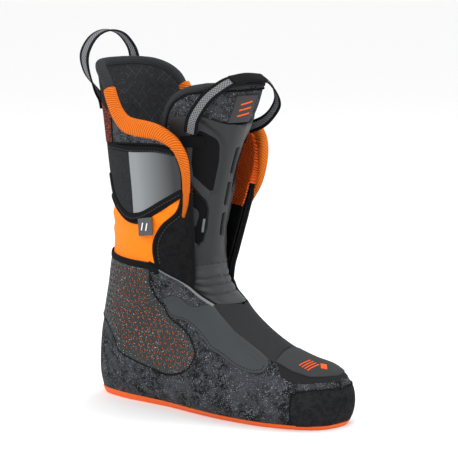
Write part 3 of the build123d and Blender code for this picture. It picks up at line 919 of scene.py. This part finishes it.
def sole():
    """Outsole: a band round the foot with a rounded lower edge and a flat underside."""
    turns = np.linspace(0, 2 * pi, 420, endpoint=False)
    # Share of the band's height, and how far that level stands out from the foot.
    levels = [(1.0, -0.6), (1.0, 0.45), (0.97, 0.8), (0.6, 0.9), (0.35, 0.75), (0.16, 0.2),
              (0.05, -0.9), (0.0, -2.4)]

    def reach(heading, z):
        """Where the foot ends at height z, from its middle towards heading."""
        return cast(FOOT_TREE, Vector((140, 3, z)) + heading * 250, -heading)[0]

    points = []
    for share, out in levels:
        for turn in turns:
            heading = Vector((cos(turn), sin(turn), 0))
            top = np.interp(reach(heading, max(2.2, share * 5.6))[0], [0, 277], [7.0, 4.0])
            height = top * share
            at = reach(heading, max(height, 1.6))
            points.append((at[0] + heading.x * out, at[1] + heading.y * out, height))
    count = len(turns)
    points = np.array(points)
    last = (len(levels) - 1) * count
    faces = [[low + k, low + (k + 1) % count, low + count + (k + 1) % count, low + count + k]
             for low in range(0, last, count) for k in range(count)]
    faces += [list(range(count)), [last + k for k in range(count)][::-1]]
    uv = np.vstack([points[face][:, :2] * 0.1 for face in faces])
    made = make("sole", points, faces, uv, SOLE_ORANGE, sharp=35)
    tidy_normals(made)
    wear(made, "foot", "sole_orange", "outsole")


def closed(points, step=1.2, round_off=True):
    """A closed outline with slightly rounded corners."""
    points = np.asarray(points, float)
    line = straight(np.vstack([points, points[:1]]), step)[:-1]
    if round_off:
        for _ in range(3):
            line = (np.roll(line, 1, axis=0) + 2 * line + np.roll(line, -1, axis=0)) / 4
    return line


def perforations(pitch=6.6, rise=5.3, front=148):
    """Middles of the round holes on the flat map, in level rows measured from the back seam."""
    spots = []
    backs = shell.row(shell.v_table)[:, 2:4]
    heel = backs[shell.v_table > 13.5]         # the sections whose back point is on the heel
    for number, z in enumerate(np.arange(39, 146, rise)):
        back = np.interp(z, heel[:, 1], heel[:, 0])
        xs = back + (front - back) * np.linspace(0, 1, 260) ** 2
        v, angle = shell.find(np.stack([xs, np.full_like(xs, z)], 1))
        points = shell.place(v, angle)
        travel = travelled(points)
        at = np.arange(5.0 + (pitch / 2 if number % 2 else 0), travel[-1], pitch)
        spots.append(shell.flat(np.interp(at, travel, v), np.interp(at, travel, angle)))
    return np.vstack(spots)


def under_instep(at, angle, far):
    """The knit gives way under the instep panel and the toe flap."""
    panel = closed([(150, 107), (160, 98.5), (176, 84.5), (194, 74), (216, 62), (240, 55), (258, 52),
                    (310, 52), (310, 130), (150, 130)], 4, False)
    points = at[:, [0, 2]]
    depth = distance(points, panel, np.roll(panel, -1, axis=0))
    return -2.4 * np.clip(np.where(inside(points, panel), depth, 0) / 2, 0, 1)


def foot_fabric():
    """Marled outer fabric of the whole foot, on its padding."""
    upper = loop(curved(FOOT_TOP), straight([(300, 106), (300, 2.4)], 4),
                 straight([(300, 2.4), (-60, 5.4)], 2), straight([(-60, 5.4), (-60, 151)], 4))
    wall = patch("foot_upper", upper, MARL, lift=-0.2, edge=0.6, bottom=-4, step=4,
                 relief=under_instep)
    wear(wall, "foot", "marl_fabric", "foot_shell", "foot_padding")


def toe_and_instep():
    """Toe cap, the dark crescent behind it, toe flap and stretch instep."""
    wear(patch("toe_cap_fabric", loop(straight(TOE_EDGE), straight([(310, 3.6), (248, 3.6)], 3)),
               TOE_KNIT, lift=0.5, edge=0.7, bottom=-0.6, step=3), "foot", "toe_knit", "toe_cap")
    crescent = loop(straight([(SEAM, 60), (233, 48), (245, 44), (256, 43.5), (267, 45),
                              (310, 45.5)]),
                    straight([(310, 51), (258, 50.5), (240, 54), (SEAM, 60)]))
    wear(patch("toe_crescent", crescent, NEOPRENE, lift=0.2, edge=0.6, bottom=-0.6),
         "foot", "neoprene", "toe_gusset")
    flap = loop(straight([(SEAM - 1, 60), (240, 53), (258, 49.5), (310, 50)]),
                straight([(310, 92), (SEAM - 1, 92), (SEAM - 1, 60)]))
    wear(patch("toe_flap_fabric", flap, GREY_WEAVE, lift=1.1, edge=0.8, bottom=-0.6),
         "foot", "grey_weave", "toe_flap")
    instep = loop(straight([(145, 107), (156, 97), (174, 83), (192, 73), (214, 61), (SEAM, 59)]),
                  straight([(SEAM, 106.8), (145, 106.8)], 2))
    wear(patch("instep_fabric", instep, STRETCH, lift=0.5, edge=0.7, bottom=-0.6, step=3),
         "foot", "stretch_weave", "instep_panel")


def side_overlay(hand, side):
    """Moulded overlay, and the roll of the throat edge above it, with a light grey strip along that
    edge whose colour is a painted rim highlight.
    """
    overlay = loop(curved(OVERLAY_TOP),
                   straight([(146, 107), (156, 97.5), (174, 83.5), (192, 73.5), (214, 61.5)]),
                   curved(OVERLAY_LOW)[:-1])
    wear(patch(f"overlay_{hand}", overlay, TPU, sides=(side,), lift=1.0, edge=0.9, bottom=-0.6),
         "foot", "tpu_grey", f"side_overlay_{hand}")
    # Light grey strip along the throat edge: a painted rim highlight.
    edge = curved([(97, 136.5), (110, 129.5), (122, 121.5), (134, 112.5), (147, 105.5)])
    laid = on_skin(edge, side, 0.3)
    width = np.interp(np.linspace(0, 1, len(laid[0])), [0, 0.35, 0.5, 1], [0.5, 0.55, 1.0, 1.4])
    wear(strip(f"throat_highlight_{hand}", laid, width, 1.0, LIGHT_EDGE, square=3, cap=1),
         "foot", "light_edge", f"throat_edge_{hand}")
    wear(cord_on(f"throat_roll_{hand}", curved(FOOT_TOP[4:10]), 1.5, side, -1.2),
         "foot", "black_binding")


def foot_stitches():
    """Straight rows round the overlays, and slanted overlocking round the ankle and toe seams."""
    low_row = [(98, 104), (101, 98.5), (108, 93), (122.5, 91), (137, 84), (148, 77), (159, 69),
               (172, 64), (188.5, 56), (203, 52), (212.5, 52.5), (214, 57)]
    top_row = [(98, 106), (102, 108), (109, 110), (116, 107.3), (123, 102.5), (131, 101.3),
               (144, 104), (155, 95), (173, 81), (191, 71), (212, 60)]
    toe_rows = [[(248.6, 4), (248.6, 35)], [(248.6, 33), (256, 36.6), (267, 38.6), (276, 38.8)]]
    black, grey = [], []
    for side in SIDES.values():
        black += stitch_row(curved(low_row), side, 1.1)
        grey += stitch_row(curved(top_row), side, 1.1)
        grey += stitch_row(curved(np.array(top_row) - (0.8, 2.6)), side, 1.1)
        black += stitch_row(curved(ANKLE_LINE[:-1], 1), side, 0.75, length=3.0, gap=-1.5,
                            radius=0.4, turn=radians(58))
        for row in toe_rows:
            black += stitch_row(curved(row), side, 0.6, length=3, gap=-1.2, radius=0.4,
                                turn=radians(50))
    wear(sew("foot_stitches_black", black, THREAD_BLACK), "foot", "black_binding")
    wear(sew("foot_stitches_grey", grey, THREAD_GREY), "foot", "tpu_grey")


def ankle_panels():
    """Perforated grey film round the heel, and the orange backing that shows in its holes."""
    ankle = loop(curved(ANKLE_LINE), straight([(-60, 87), (-60, 145)]),
                 curved([(-60, 148), (-10, 146), (29, 143), (60, 141), (86, 141)]))
    wear(patch("ankle_backing", ankle, ORANGE_BACK, lift=0.0, edge=0.4, bottom=-0.6, step=4),
         "foot", "orange_backing", "ankle_backing_right", "ankle_backing_left")
    wear(patch("ankle_film", ankle, PERFORATED, lift=0.8, edge=0.35, bottom=0.1, step=3.4,
               holes=perforations(), hole_size=1.35),
         "foot", "perforated_grey", "ankle_panel_right", "ankle_panel_left")


def toe_print():
    """Four plain slanted bars and a lozenge on the toe flap, cast down from above it."""
    above = 120
    for number in range(4):
        x = 242 + 3.4 * number
        corners = [(x, -10, above), (x + 1.1, -10, above), (x + 5.4, 1, above), (x + 4.3, 1, above)]
        wear(badge(f"toe_bar_{number + 1}", FOOT_TREE, (0, 0, -1), corners, 1.45, 0.9, PRINT, 6,
                   0.2), "foot", "orange_backing")
    lozenge = [(257, 3, above), (261, -1, above), (265, 3, above), (261, 7, above)]
    wear(badge("toe_lozenge", FOOT_TREE, (0, 0, -1), lozenge, 1.45, 0.9, PRINT, 6, 0.5),
         "foot", "orange_backing")


def foot_pieces():
    """The foot part."""
    foot_fabric()
    toe_and_instep()
    for hand, side in SIDES.items():
        side_overlay(hand, side)
    seam_line = curved([(95, 135.5), (84, 139.5), (60, 141), (29, 143.6), (15, 145.4), (8.2, 146)])
    wear(strip("ankle_seam", both(seam_line, 0.4), 3.2, 1.1, BLACK_BINDING, square=3, cap=1.2),
         "foot", "black_binding")
    foot_stitches()
    ankle_panels()
    toe_print()
    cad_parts["insole"].data.materials[0] = INSOLE_FELT
    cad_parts["lasting_board"].data.materials[0] = INSOLE_FELT
    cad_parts["foot_lining"].data.materials[0] = LINING


# ---------------------------------------------------------------- stretch ankle and flaps
def gusset_folds(at, angle, far):
    """Creases of the stretch fabric, deepest at the back of the heel."""
    x, z = at[:, 0], at[:, 2]
    behind = np.exp(-((pi - np.abs(angle)) / 0.75) ** 2)
    slant = 0.55 * np.sin((z + 0.35 * x) * 2 * pi / 17 + 0.8 * np.sin(x / 14))
    return (0.8 * behind * np.sin(z * 2 * pi / 15 + 1.2 * np.sin(angle * 2.1)) + slant) * np.clip(
        far / 5, 0, 1)


def flap_waves(at, angle, far):
    """Shallow slanted waves of the front flaps."""
    return 0.4 * np.sin((at[:, 0] - at[:, 2]) / 9) * np.clip(far / 6, 0, 1)


def ankle_pieces():
    """Orange stretch gusset and the black front flaps round the ankle."""
    bend = ("foot", "cuff"), (60, 0, 147), (60, 0, 196)
    back = np.array(FLAP_BACK)
    gusset = loop(curved(np.array(FOOT_TOP[:5]) - (0, 3)), straight([(86, 140), (99, 140)]),
                  curved((back + (5, 1))[::-1]), straight([(136, 213), (131, 216)]),
                  curved((np.array(CUFF_BOTTOM) + (0, 4))[:-1][::-1]),
                  straight([(-40, 208), (-40, 148)], 3))
    stretch(patch("ankle_stretch", gusset, ORANGE_STRETCH, lift=-1.2, edge=0.6, bottom=-4,
                  relief=gusset_folds, step=2.2), *bend, "orange_stretch", "achilles_gusset")
    inner = loop(curved(np.array(FOOT_TOP[:8]) - (0, 2)),
                 curved([(124, 123), (128, 148), (133, 178), (137, 213)]),
                 curved((np.array(CUFF_BOTTOM) + (0, 3))[:-1][::-1]),
                 straight([(-40, 207), (-40, 149)], 3))
    stretch(patch("ankle_lining", inner, BLACK_FABRIC, lift=7.6, edge=0.5, bottom=6.2, inward=True,
                  step=4), *bend, "lining_black")
    flap = loop(curved(FLAP_BACK[::-1]), straight([(131, 212), (137, 216)]),
                curved([(138, 214), (134, 178), (129, 148), (124, 120)]),
                curved([(124, 118), (110, 126.5), (97, 133.5)]), straight([(97, 134), (94, 142)]))
    for hand, side in SIDES.items():
        stretch(patch(f"flap_{hand}", flap, BLACK_FABRIC, sides=(side,), lift=-0.2, edge=1.0,
                      bottom=-4.5, relief=flap_waves), *bend, "black_fabric", f"front_flap_{hand}")
        stretch(cord_on(f"flap_tape_{hand}", curved(FLAP_BACK), 1.9, side, -0.4, 0.7),
                *bend, "black_binding")
        stretch(cord_on(f"flap_front_tape_{hand}", curved(FLAP_FRONT), 1.7, side, -1.4),
                *bend, "black_binding")
        rows = stitch_row(curved(np.array(FLAP_BACK) + (4.5, -0.5)), side, -0.1)
        stretch(sew(f"flap_stitches_{hand}", rows, THREAD_GREY), *bend, "black_fabric")


# ---------------------------------------------------------------- cuff
def quilt(at, angle, far):
    """Soft unevenness of the padded lining."""
    return 0.5 * np.sin(at[:, 2] / 11 + 1.5 * np.sin(angle * 3)) * np.clip(far / 12, 0, 1)


ROLL_STEPS = 140             # places along the collar roll
ROLL_SMOOTH = 8              # its width is smoothed over this many places each way


def wing_flare(line, side):
    """How far the inner wing opens forward, in millimetres, at side view places."""
    widest, low, back, run = 8, 192, 92, 30
    rise = np.clip((line[:, 1] - low) / run, 0, 1)
    forward = np.clip((line[:, 0] - back) / run, 0, 1)
    return (side < 0) * widest * rise * rise * (3 - 2 * rise) * forward


def cuff_fabric():
    """Black outer fabric, which ends under the collar roll."""
    under_roll = [(134, 213), (132, 232), (129, 247), (124, 257), (112, 266), (90, 270), (60, 273),
                  (45, 284), (36, 297), (27, 311), (14, 321), (-3, 326), (-40, 327)]
    outline = loop(curved(under_roll), straight([(-40, 327), (-40, 204)], 4),
                   curved([*CUFF_BOTTOM[:-1], (134, 213)]))
    wear(patch("cuff_fabric", outline, BLACK_FABRIC, lift=-0.3, edge=0.6, bottom=-2, step=4),
         "cuff", "black_fabric", "cuff_shell")


def cuff_panels(hand, side):
    """The window with its reflective film, and the mottled yoke above it."""
    window = loop(straight([(28, 251), (72, 250), (106, 252), (128, 250)]),
                  curved([(128, 250), (131, 234), (130, 218)]),
                  curved([(130, 217), (108, 205), (81, 192), (60, 189), (40, 200), (29, 226),
                          (28, 251)]))
    film = loop(straight([(70, 250), (106, 252), (127.5, 250)]),
                curved([(128, 249), (131, 234), (130, 218)]),
                curved([(130, 217), (108, 205), (83, 193), (70, 190)]),
                straight([(70, 191), (70, 250)]))
    yoke = loop(straight([(42, 256), (88, 258.5), (113, 259), (125, 255)]),
                curved([(125, 255), (117, 264), (104, 269), (60, 273), (42, 285)]),
                straight([(42, 285), (42, 256)]))
    wear(patch(f"window_knit_{hand}", window, WINDOW_KNIT, sides=(side,), lift=0.3, edge=0.6,
               bottom=-0.8), "cuff", "reflective", f"window_panel_{hand}")
    wear(patch(f"window_film_{hand}", film, REFLECTIVE, sides=(side,), lift=0.8, edge=0.5,
               bottom=-0.2), "cuff", "reflective")
    wear(patch(f"yoke_fabric_{hand}", yoke, MARL_DARK, sides=(side,), lift=0.3, edge=0.6,
               bottom=-0.8), "cuff", "marl_fabric", f"yoke_panel_{hand}")


def cuff_bindings(hand, side):
    """Black bands and pipings over the seams. Returns their stitches."""
    top_band = curved([(30, 253), (72, 252.5), (106, 254.5), (128, 252)])
    wear(strip(f"window_band_{hand}", on_skin(top_band, side, 0.5), 3.0, 1.1, BLACK_BINDING,
               square=3, cap=1), "cuff", "black_binding")
    edging = curved([(28, 224), (32, 210), (41, 198), (60, 187), (81, 189), (108, 202.5),
                     (130, 214.5)])
    wear(strip(f"window_edging_{hand}", on_skin(edging, side, 0.4), 3.4, 1.3, BLACK_BINDING,
               square=2.6, cap=1.2), "cuff", "black_binding", f"panel_edging_{hand}")
    piping = curved([(41, 256), (88, 258.6), (113, 259), (128, 256)])
    for kind, line, radius, lift, flat in (
            ("cuff_hem", curved(CUFF_BOTTOM[1:-1]), 1.6, -0.6, 0.9),
            ("yoke_piping", piping, 0.8, 0.9, 1.0),
            ("mesh_seam", straight([(42, 252), (42, 279)]), 0.8, 0.5, 1.0)):
        wear(cord_on(f"{kind}_{hand}", line, radius, side, lift, flat), "cuff", "black_binding")
    below = np.array([(42, 198.4), (60, 188.4), (80, 190.2), (107, 203.4), (130, 216)]) - (0, 2.6)
    return (stitch_row(straight([(31, 251.6), (72, 251), (106, 253), (127, 250.7)]), side, 1.5)
            + stitch_row(curved(below), side, 1.6))


def collar(hand, side):
    """The padded orange roll along the front and top edge of a wing."""
    reach = np.linspace(0, 1, ROLL_STEPS)
    low, high = (line[np.linspace(0, len(line) - 1, ROLL_STEPS).round().astype(int)]
                 for line in (curved(ROLL_LOW, 0.5), curved(ROLL_TOP, 0.5)))
    middle = (low + high) / 2
    flare = wing_flare(middle, side)
    depth = np.interp(reach, [0, 0.12, 0.3, 1], [0.2, -0.8, -2.6, -3.6]) + 0.3 * flare
    laid = on_skin(middle + flare[:, None] * (1, 0), side, depth)
    half = np.linalg.norm(low - high, axis=1) / 2
    spread = 2 * ROLL_SMOOTH + 1
    half = np.convolve(np.pad(half, ROLL_SMOOTH, mode="edge"), np.ones(spread) / spread,
                       mode="valid") + 0.4
    half *= np.interp(reach, [0, 0.05, 0.14, 0.95, 1], [0.55, 0.75, 1, 1, 0.85])
    thick = np.interp(reach, [0, 0.12, 0.3, 1], [1.5, 2.6, 4.8, 5.8])
    roll = strip(f"collar_{hand}", laid, half, thick, ORANGE_ROLL, square=2.3, rounds=28, cap=2)
    puff(roll, 3, 1.2)
    wear(roll, "cuff", "orange_mesh", f"collar_roll_{hand}")


def wing(hand, side):
    """Orange mesh on the inner face of a wing, and its skirt over the front flap."""
    front = curved([(133.5, 214), (134, 230), (131.5, 244), (127, 254), (118, 263), (92, 271)])
    front = front + wing_flare(front, side)[:, None] * (1, 0)
    outline = loop(straight([(92, 192), (108, 200), (121, 208), (133.5, 214)]), front,
                   straight([(92, 271), (92, 192)], 3))
    wear(patch(f"wing_mesh_{hand}", outline, ORANGE_MESH, sides=(side,), lift=8.2, edge=1.5,
               bottom=0.4, inward=True, step=2.2,
               relief=lambda at, angle, far: np.clip(far / 14, 0, 1)),
         "cuff", "orange_mesh", f"wing_lining_{hand}")
    skirt = loop(straight([(98, 192), (134, 191), (137, 200), (138, 216)]),
                 straight([(138, 216), (121, 211), (108, 203), (98, 196), (98, 192)]))
    wear(patch(f"wing_skirt_{hand}", skirt, ORANGE_MESH, sides=(side,), lift=8.4, edge=0.5,
               bottom=7, inward=True, step=2.2), "cuff", "orange_mesh")


def rear_mesh():
    """The dark mesh with orange flecks round the back."""
    outline = loop(straight([(-40, 252), (42, 255), (42, 286), (10, 292), (-40, 294)]),
                   straight([(-40, 294), (-40, 252)]))
    wear(patch("rear_mesh_fabric", outline, REAR_MESH, lift=0.3, edge=0.6, bottom=-0.8, step=3),
         "cuff", "rear_mesh", "rear_mesh_right", "rear_mesh_left")


def cuff_inside():
    """Quilted lining."""
    lining = loop(curved([(95, 275), (66, 276), (51, 283), (42, 294), (36, 306), (27, 318),
                          (14, 328), (-3, 332), (-40, 333)]), straight([(-40, 333), (-40, 200)], 3),
                  curved([(-40, 200), (5, 199), (42, 186), (78, 178), (95, 188)]),
                  straight([(95, 190), (95, 275)], 3))
    wear(patch("cuff_quilt", lining, LINING, lift=8.2, edge=0.6, bottom=6.8, inward=True, step=1.7,
               relief=quilt), "cuff", "lining_black", "cuff_lining")


def rim():
    """The padded black roll along the top of the back."""
    line = curved([(37, 301), (29, 314), (15, 323.5), (-3, 328), (-40, 329)], 1.5)
    laid = both(line, -3.8)
    half = np.interp(np.linspace(-1, 1, len(laid[0])), [-1, -0.7, 0.7, 1], [4.6, 5.6, 5.6, 4.6])
    roll = strip("rim_roll", laid, half, 5.2, BLACK_KNIT, square=2.4, rounds=24, cap=3)
    puff(roll, 3, 1.0)
    wear(roll, "cuff", "black_binding", "rim_binding")


def side_tag():
    """Two plain bars on the woven tag."""
    tag_low, tag_high = (np.array(corner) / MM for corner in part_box("side_tag"))
    for number, share in enumerate((0.34, 0.62)):
        x = tag_low[0] + share * (tag_high[0] - tag_low[0])
        middles = np.linspace((x - 0.8, tag_low[1], 175), (x + 0.8, tag_low[1], 182), 8)
        across, facing = (np.tile(heading, (8, 1)) for heading in ((1.0, 0, 0), (0, -1.0, 0)))
        wear(sweep(f"tag_bar_{number + 1}", middles, across, facing, 0.75, 0.25, TAG_PRINT,
                   square=3, rounds=12, cap=0.3), "cuff", "tag_grey")


def cuff_pieces():
    """The leg part."""
    cuff_fabric()
    stitches = []
    for hand, side in SIDES.items():
        cuff_panels(hand, side)
        stitches += cuff_bindings(hand, side)
        collar(hand, side)
        wing(hand, side)
    rear_mesh()
    cuff_inside()
    rim()
    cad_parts["cuff_padding"].data.materials[0] = FOAM
    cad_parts["rear_loop_tabs"].data.materials[0] = BLACK_BINDING
    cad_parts["side_tag"].data.materials[0] = TAG
    side_tag()
    wear(sew("cuff_stitches", stitches, THREAD_GREY), "cuff", "black_binding")


# ---------------------------------------------------------------- tongue
PLATE = [(110, 140), (106, 165), (104, 200), (104, 236), (107, 262), (113, 284)]
# Front view outlines on the tongue: (distance from the middle, z).
RECESS = [(35, 272), (31, 270), (21, 263), (17, 257), (13.5, 242), (13, 229), (13, 213), (18, 211),
          (30, 223), (34, 237), (35, 248), (36, 261)]
FRAME = [(40, 284), (34, 284), (28, 278), (16.5, 267.5), (11.5, 259), (7.5, 242), (7, 225),
         (8.5, 211), (17, 208), (27, 217), (35, 226), (38, 240), (40, 262)]
LOW_WINDOW = [(34, 222), (27, 214), (18, 204), (14, 195), (13.5, 176), (16, 163), (21, 159), (29, 172),
              (33, 186)]
SHIELD = [(33, 205), (24, 195.5), (22, 191), (23, 179), (31, 183)]
SLOTS = [(229, 256), (198, 222), (168, 192)]     # bottom and top of the slots in the middle ridge


def on_tongue(line, side, lift):
    """A front view line laid on the tongue: middles, normals and directions along it."""
    v, angle = tongue.find_front(straight(line))
    centres = tongue.place(v, side * angle, lift)
    return centres, tongue.normal(v, side * angle), unit(np.gradient(centres, axis=0))


def sunk(at, outline, depth, slope):
    """Smooth sinking inside a front view outline of the tongue."""
    points = np.stack([np.abs(at[:, 1]), at[:, 2]], 1)
    outline = np.asarray(outline, float)
    far = distance(points, outline, np.roll(outline, -1, axis=0))
    share = np.clip(np.where(inside(points, outline), far, 0) / slope, 0, 1)
    return -depth * share * share * (3 - 2 * share)


def plate_relief(at, angle, far):
    """Recesses, raised middle ridge and its slots, on the moulded shin plate."""
    front = np.abs(angle) < pi / 2
    ridge = np.exp(-(at[:, 1] / 9.5) ** 4) * 0.9 * np.clip((at[:, 2] - 150) / 20, 0, 1)
    slot = sum(-1.7 * np.exp(-((at[:, 1] - 3) / 2.5) ** 4) * np.clip(
        np.minimum(high - at[:, 2], at[:, 2] - low) / 1.2, 0, 1)
        for low, high in SLOTS)
    windows = sunk(at, FRAME, 2.4, 5.0) + sunk(at, LOW_WINDOW, 2.4, 1.6)
    return np.where(front, windows + ridge + slot, 0)


def under_plate(at, angle, far):
    """The fabric gives way under the moulded plate."""
    plate = closed([*PLATE, (140, 287), (160, 281), (230, 277), (230, 141)], 4, False)
    points = at[:, [0, 2]]
    depth = distance(points, plate, np.roll(plate, -1, axis=0))
    return -3.0 * np.clip(np.where(inside(points, plate), depth, 0) / 3, 0, 1)


TONGUE_FACE = loop(curved(TONGUE_EDGE), straight([(150, 313), (230, 313)], 3),
                   straight([(230, 313), (230, 140)], 3),
                   straight([(230, 140), (104, 140)], 2)[:-1])


def shin_guard():
    """The moulded plate on the front of the tongue."""
    plate = loop(curved(PLATE),
                 curved([(113, 284), (138, 287.5), (147, 285.5), (158, 279), (166, 277)]),
                 straight([(166, 277), (230, 277)], 3), straight([(230, 277), (230, 141)], 3),
                 straight([(230, 141), (110, 141)], 2))
    wear(patch("shin_guard", plate, SHIN, lift=0.9, edge=0.9, bottom=-2.2, step=1.5, skin=tongue,
               relief=plate_relief), "tongue", "shin_grey", "shin_plate")


def shin_windows(hand, side):
    """Dark films in the plate's recesses, and the small shield with its slit in the lower one."""
    in_front = {"sides": (side,), "skin": tongue, "front": True}
    wear(patch(f"shin_film_{hand}", closed(RECESS), SHIN_DARK, lift=-1.3, edge=0.4, bottom=-2.4,
               **in_front), "tongue", "shin_dark", f"shin_insert_{hand}")
    centre = np.array([24, 190])
    low_window = centre + (closed(LOW_WINDOW) - centre) * 0.94
    wear(patch(f"shin_low_film_{hand}", low_window, SHIN_DARK, lift=-1.1, edge=0.4, bottom=-2.4,
               **in_front), "tongue", "shin_dark")
    wear(patch(f"shin_shield_{hand}", closed(SHIELD), SHIN, lift=0.1, edge=0.5, bottom=-1.6,
               **in_front), "tongue", "shin_grey")
    wear(strip(f"shin_slit_{hand}", on_tongue([(17, 186), (17, 174)], side, -0.9), 1.3, 0.5,
               LIGHT_EDGE, square=2.5, cap=1.2), "tongue", "light_edge")


def shin_slots():
    """Dark bottoms of the slots in the middle ridge."""
    for number, (low, high) in enumerate(SLOTS):
        laid = on_tongue([(3, low + 1.5), (3, high - 1.5)], -1, 0.5)
        wear(strip(f"shin_slot_{number + 1}", laid, 1.8, 0.5, SHIN_DARK, square=3, cap=1.2),
             "tongue", "shin_dark")


def tongue_rim():
    """The padded roll round the tongue, and a cord along its seam."""
    line = np.vstack([curved(TONGUE_EDGE), straight([(152, 313.5), (180, 314)], 2)])
    roll = strip("tongue_roll", both(line, -3.7, tongue), 3.3, 4.9, BLACK_KNIT, square=2.3,
                 rounds=20, cap=2)
    puff(roll, 3, 0.6)
    wear(roll, "tongue", "black_binding", "tongue_piping")
    centres, normals, along = both(line, 0.4, tongue)
    outside = centres + np.cross(along, normals) * 3.6
    wear(sweep("tongue_cord", outside, np.cross(normals, along), normals, 0.9, 0.9, BLACK_BINDING,
               rounds=10, cap=1), "tongue", "black_binding")


def tongue_label():
    """A plain label with three slanted bars, cast back onto the tongue from before it."""
    before, back = 260, (-1, 0, 0)
    corners = [(before, -17, 280), (before, 8, 280), (before, 8, 306), (before, -17, 306)]
    wear(badge("label", TONGUE_TREE, back, corners, 1.8, 2.4, LABEL, 12, 1.0),
         "tongue", "label_grey", "tongue_label")
    for number in range(3):
        z = 286 + 5.5 * number
        corners = [(before, y, z + rise) for y, rise in ((-11, 0), (2, 2.5), (2, 4.0), (-11, 1.5))]
        wear(badge(f"label_bar_{number + 1}", TONGUE_TREE, back, corners, 2.1, 0.8, PRINT, 6, 0.3),
             "tongue", "orange_backing")


def creases(at, angle, far):
    """Three sharp folds of the bellows and the soft waves between them."""
    level = at[:, 2] + 0.06 * np.abs(at[:, 1])
    fold = sum(-1.1 * np.exp(-((level - height) / 0.9) ** 2) for height in (130.5, 124, 116.5))
    return fold + 0.25 * np.cos((level - 127) * 2 * pi / 7)


def bellows():
    """The folding foot of the tongue, between foot and tongue."""
    outline = loop(straight([(105, 143), (112, 108)], 2), straight([(112, 108), (230, 106.6)], 2),
                   straight([(230, 106.6), (230, 143)], 3), straight([(230, 143), (105, 143)], 2))
    stretch(patch("bellows", outline, BELLOWS, lift=0.2, edge=0.6, bottom=-3, step=1.8, skin=tongue,
                  relief=creases), ("foot", "tongue"), (140, 0, 113), (134, 0, 141), "shin_grey",
            "tongue_bellows")


def tongue_pieces():
    """The tongue."""
    wear(patch("tongue_fabric", TONGUE_FACE, MARL_DARK, lift=-0.2, edge=0.6, bottom=-4.5, step=4,
               skin=tongue, relief=under_plate), "tongue", "marl_fabric", "tongue_face")
    shin_guard()
    for hand, side in SIDES.items():
        shin_windows(hand, side)
    shin_slots()
    wear(patch("tongue_quilt", TONGUE_FACE, LINING, lift=8.2, edge=0.6, bottom=6.8, inward=True,
               step=2.6, skin=tongue, relief=quilt), "tongue", "lining_black", "tongue_lining")
    tongue_rim()
    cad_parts["tongue_pad"].data.materials[0] = FOAM
    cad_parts["handle_tabs"].data.materials[0] = BLACK_BINDING
    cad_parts["tongue_base"].data.materials[0] = BELLOWS
    tongue_label()
    bellows()


# ---------------------------------------------------------------- pull loops
# Middle of the band and the way it faces, place by place.
REAR_LOOP = [((-14, -32, 323), (-0.3, -0.95, 0)), ((-15.5, -32, 339), (0, -0.95, 0.3)),
             ((-16.5, -19, 354), (0, -0.5, 0.87)), ((-17, 0, 360), (0, 0, 1)),
             ((-17, 20, 356), (0, 0.5, 0.87)), ((-16, 34, 342), (0, 0.9, 0.4)),
             ((-13, 39, 324), (-0.2, 0.97, 0))]
HANDLE = [((133, -40.5, 270), (0.55, -0.83, 0)), ((142, -46, 285), (0.6, -0.75, 0.1)),
          ((155, -44, 302.5), (0.6, -0.65, 0.4)), ((169, -40, 314), (0.6, -0.5, 0.6)),
          ((174, -27, 320.5), (0.5, -0.3, 0.8)), ((177, -7, 323), (0.45, 0, 0.9)),
          ((178, 12, 321), (0.5, 0.25, 0.8)), ((176, 30, 310), (0.6, 0.5, 0.55)),
          ((171, 41, 297), (0.45, 0.8, 0.3)), ((162, 43, 285), (0.35, 0.9, -0.1)),
          ((150, 43.5, 276), (0.3, 0.95, -0.2)), ((135, 42.5, 270), (0.4, 0.9, -0.2))]


def loops():
    """Rear pull loop and the handle with its padded sleeve."""
    tree = tree_of(shell, 18, 22)

    def sewn(y, z, off):
        """A place of the band that lies off mm outside the back of the cuff."""
        at, normal = cast(tree, (-80, y, z), (1, 0, 0))
        return at + normal * off, normal

    rows = [sewn(-24, 286, 2.6), sewn(-24.5, 295, 3.2), sewn(-26.5, 306, 6.5), *REAR_LOOP,
            sewn(38.5, 307, 6.5), sewn(38, 296, 3.2), sewn(38, 287, 2.6)]
    webbing("rear_band", rows, "rear_loop", "rear_loop")
    webbing("handle_band", HANDLE, "handle", "handle_strap")
    centres, across, facing = band_path(HANDLE[4:7])
    sleeve = sweep("handle_grip", centres, across, facing, 6.9, 1.9, SLEEVE, square=3, rounds=28,
                   cap=2)
    puff(sleeve, 3, 0.8)
    wear(sleeve, "handle", "sleeve_black", "handle_sleeve")


add_camera()
add_studio()
sole()
foot_pieces()
ankle_pieces()
cuff_pieces()
tongue_pieces()
loops()
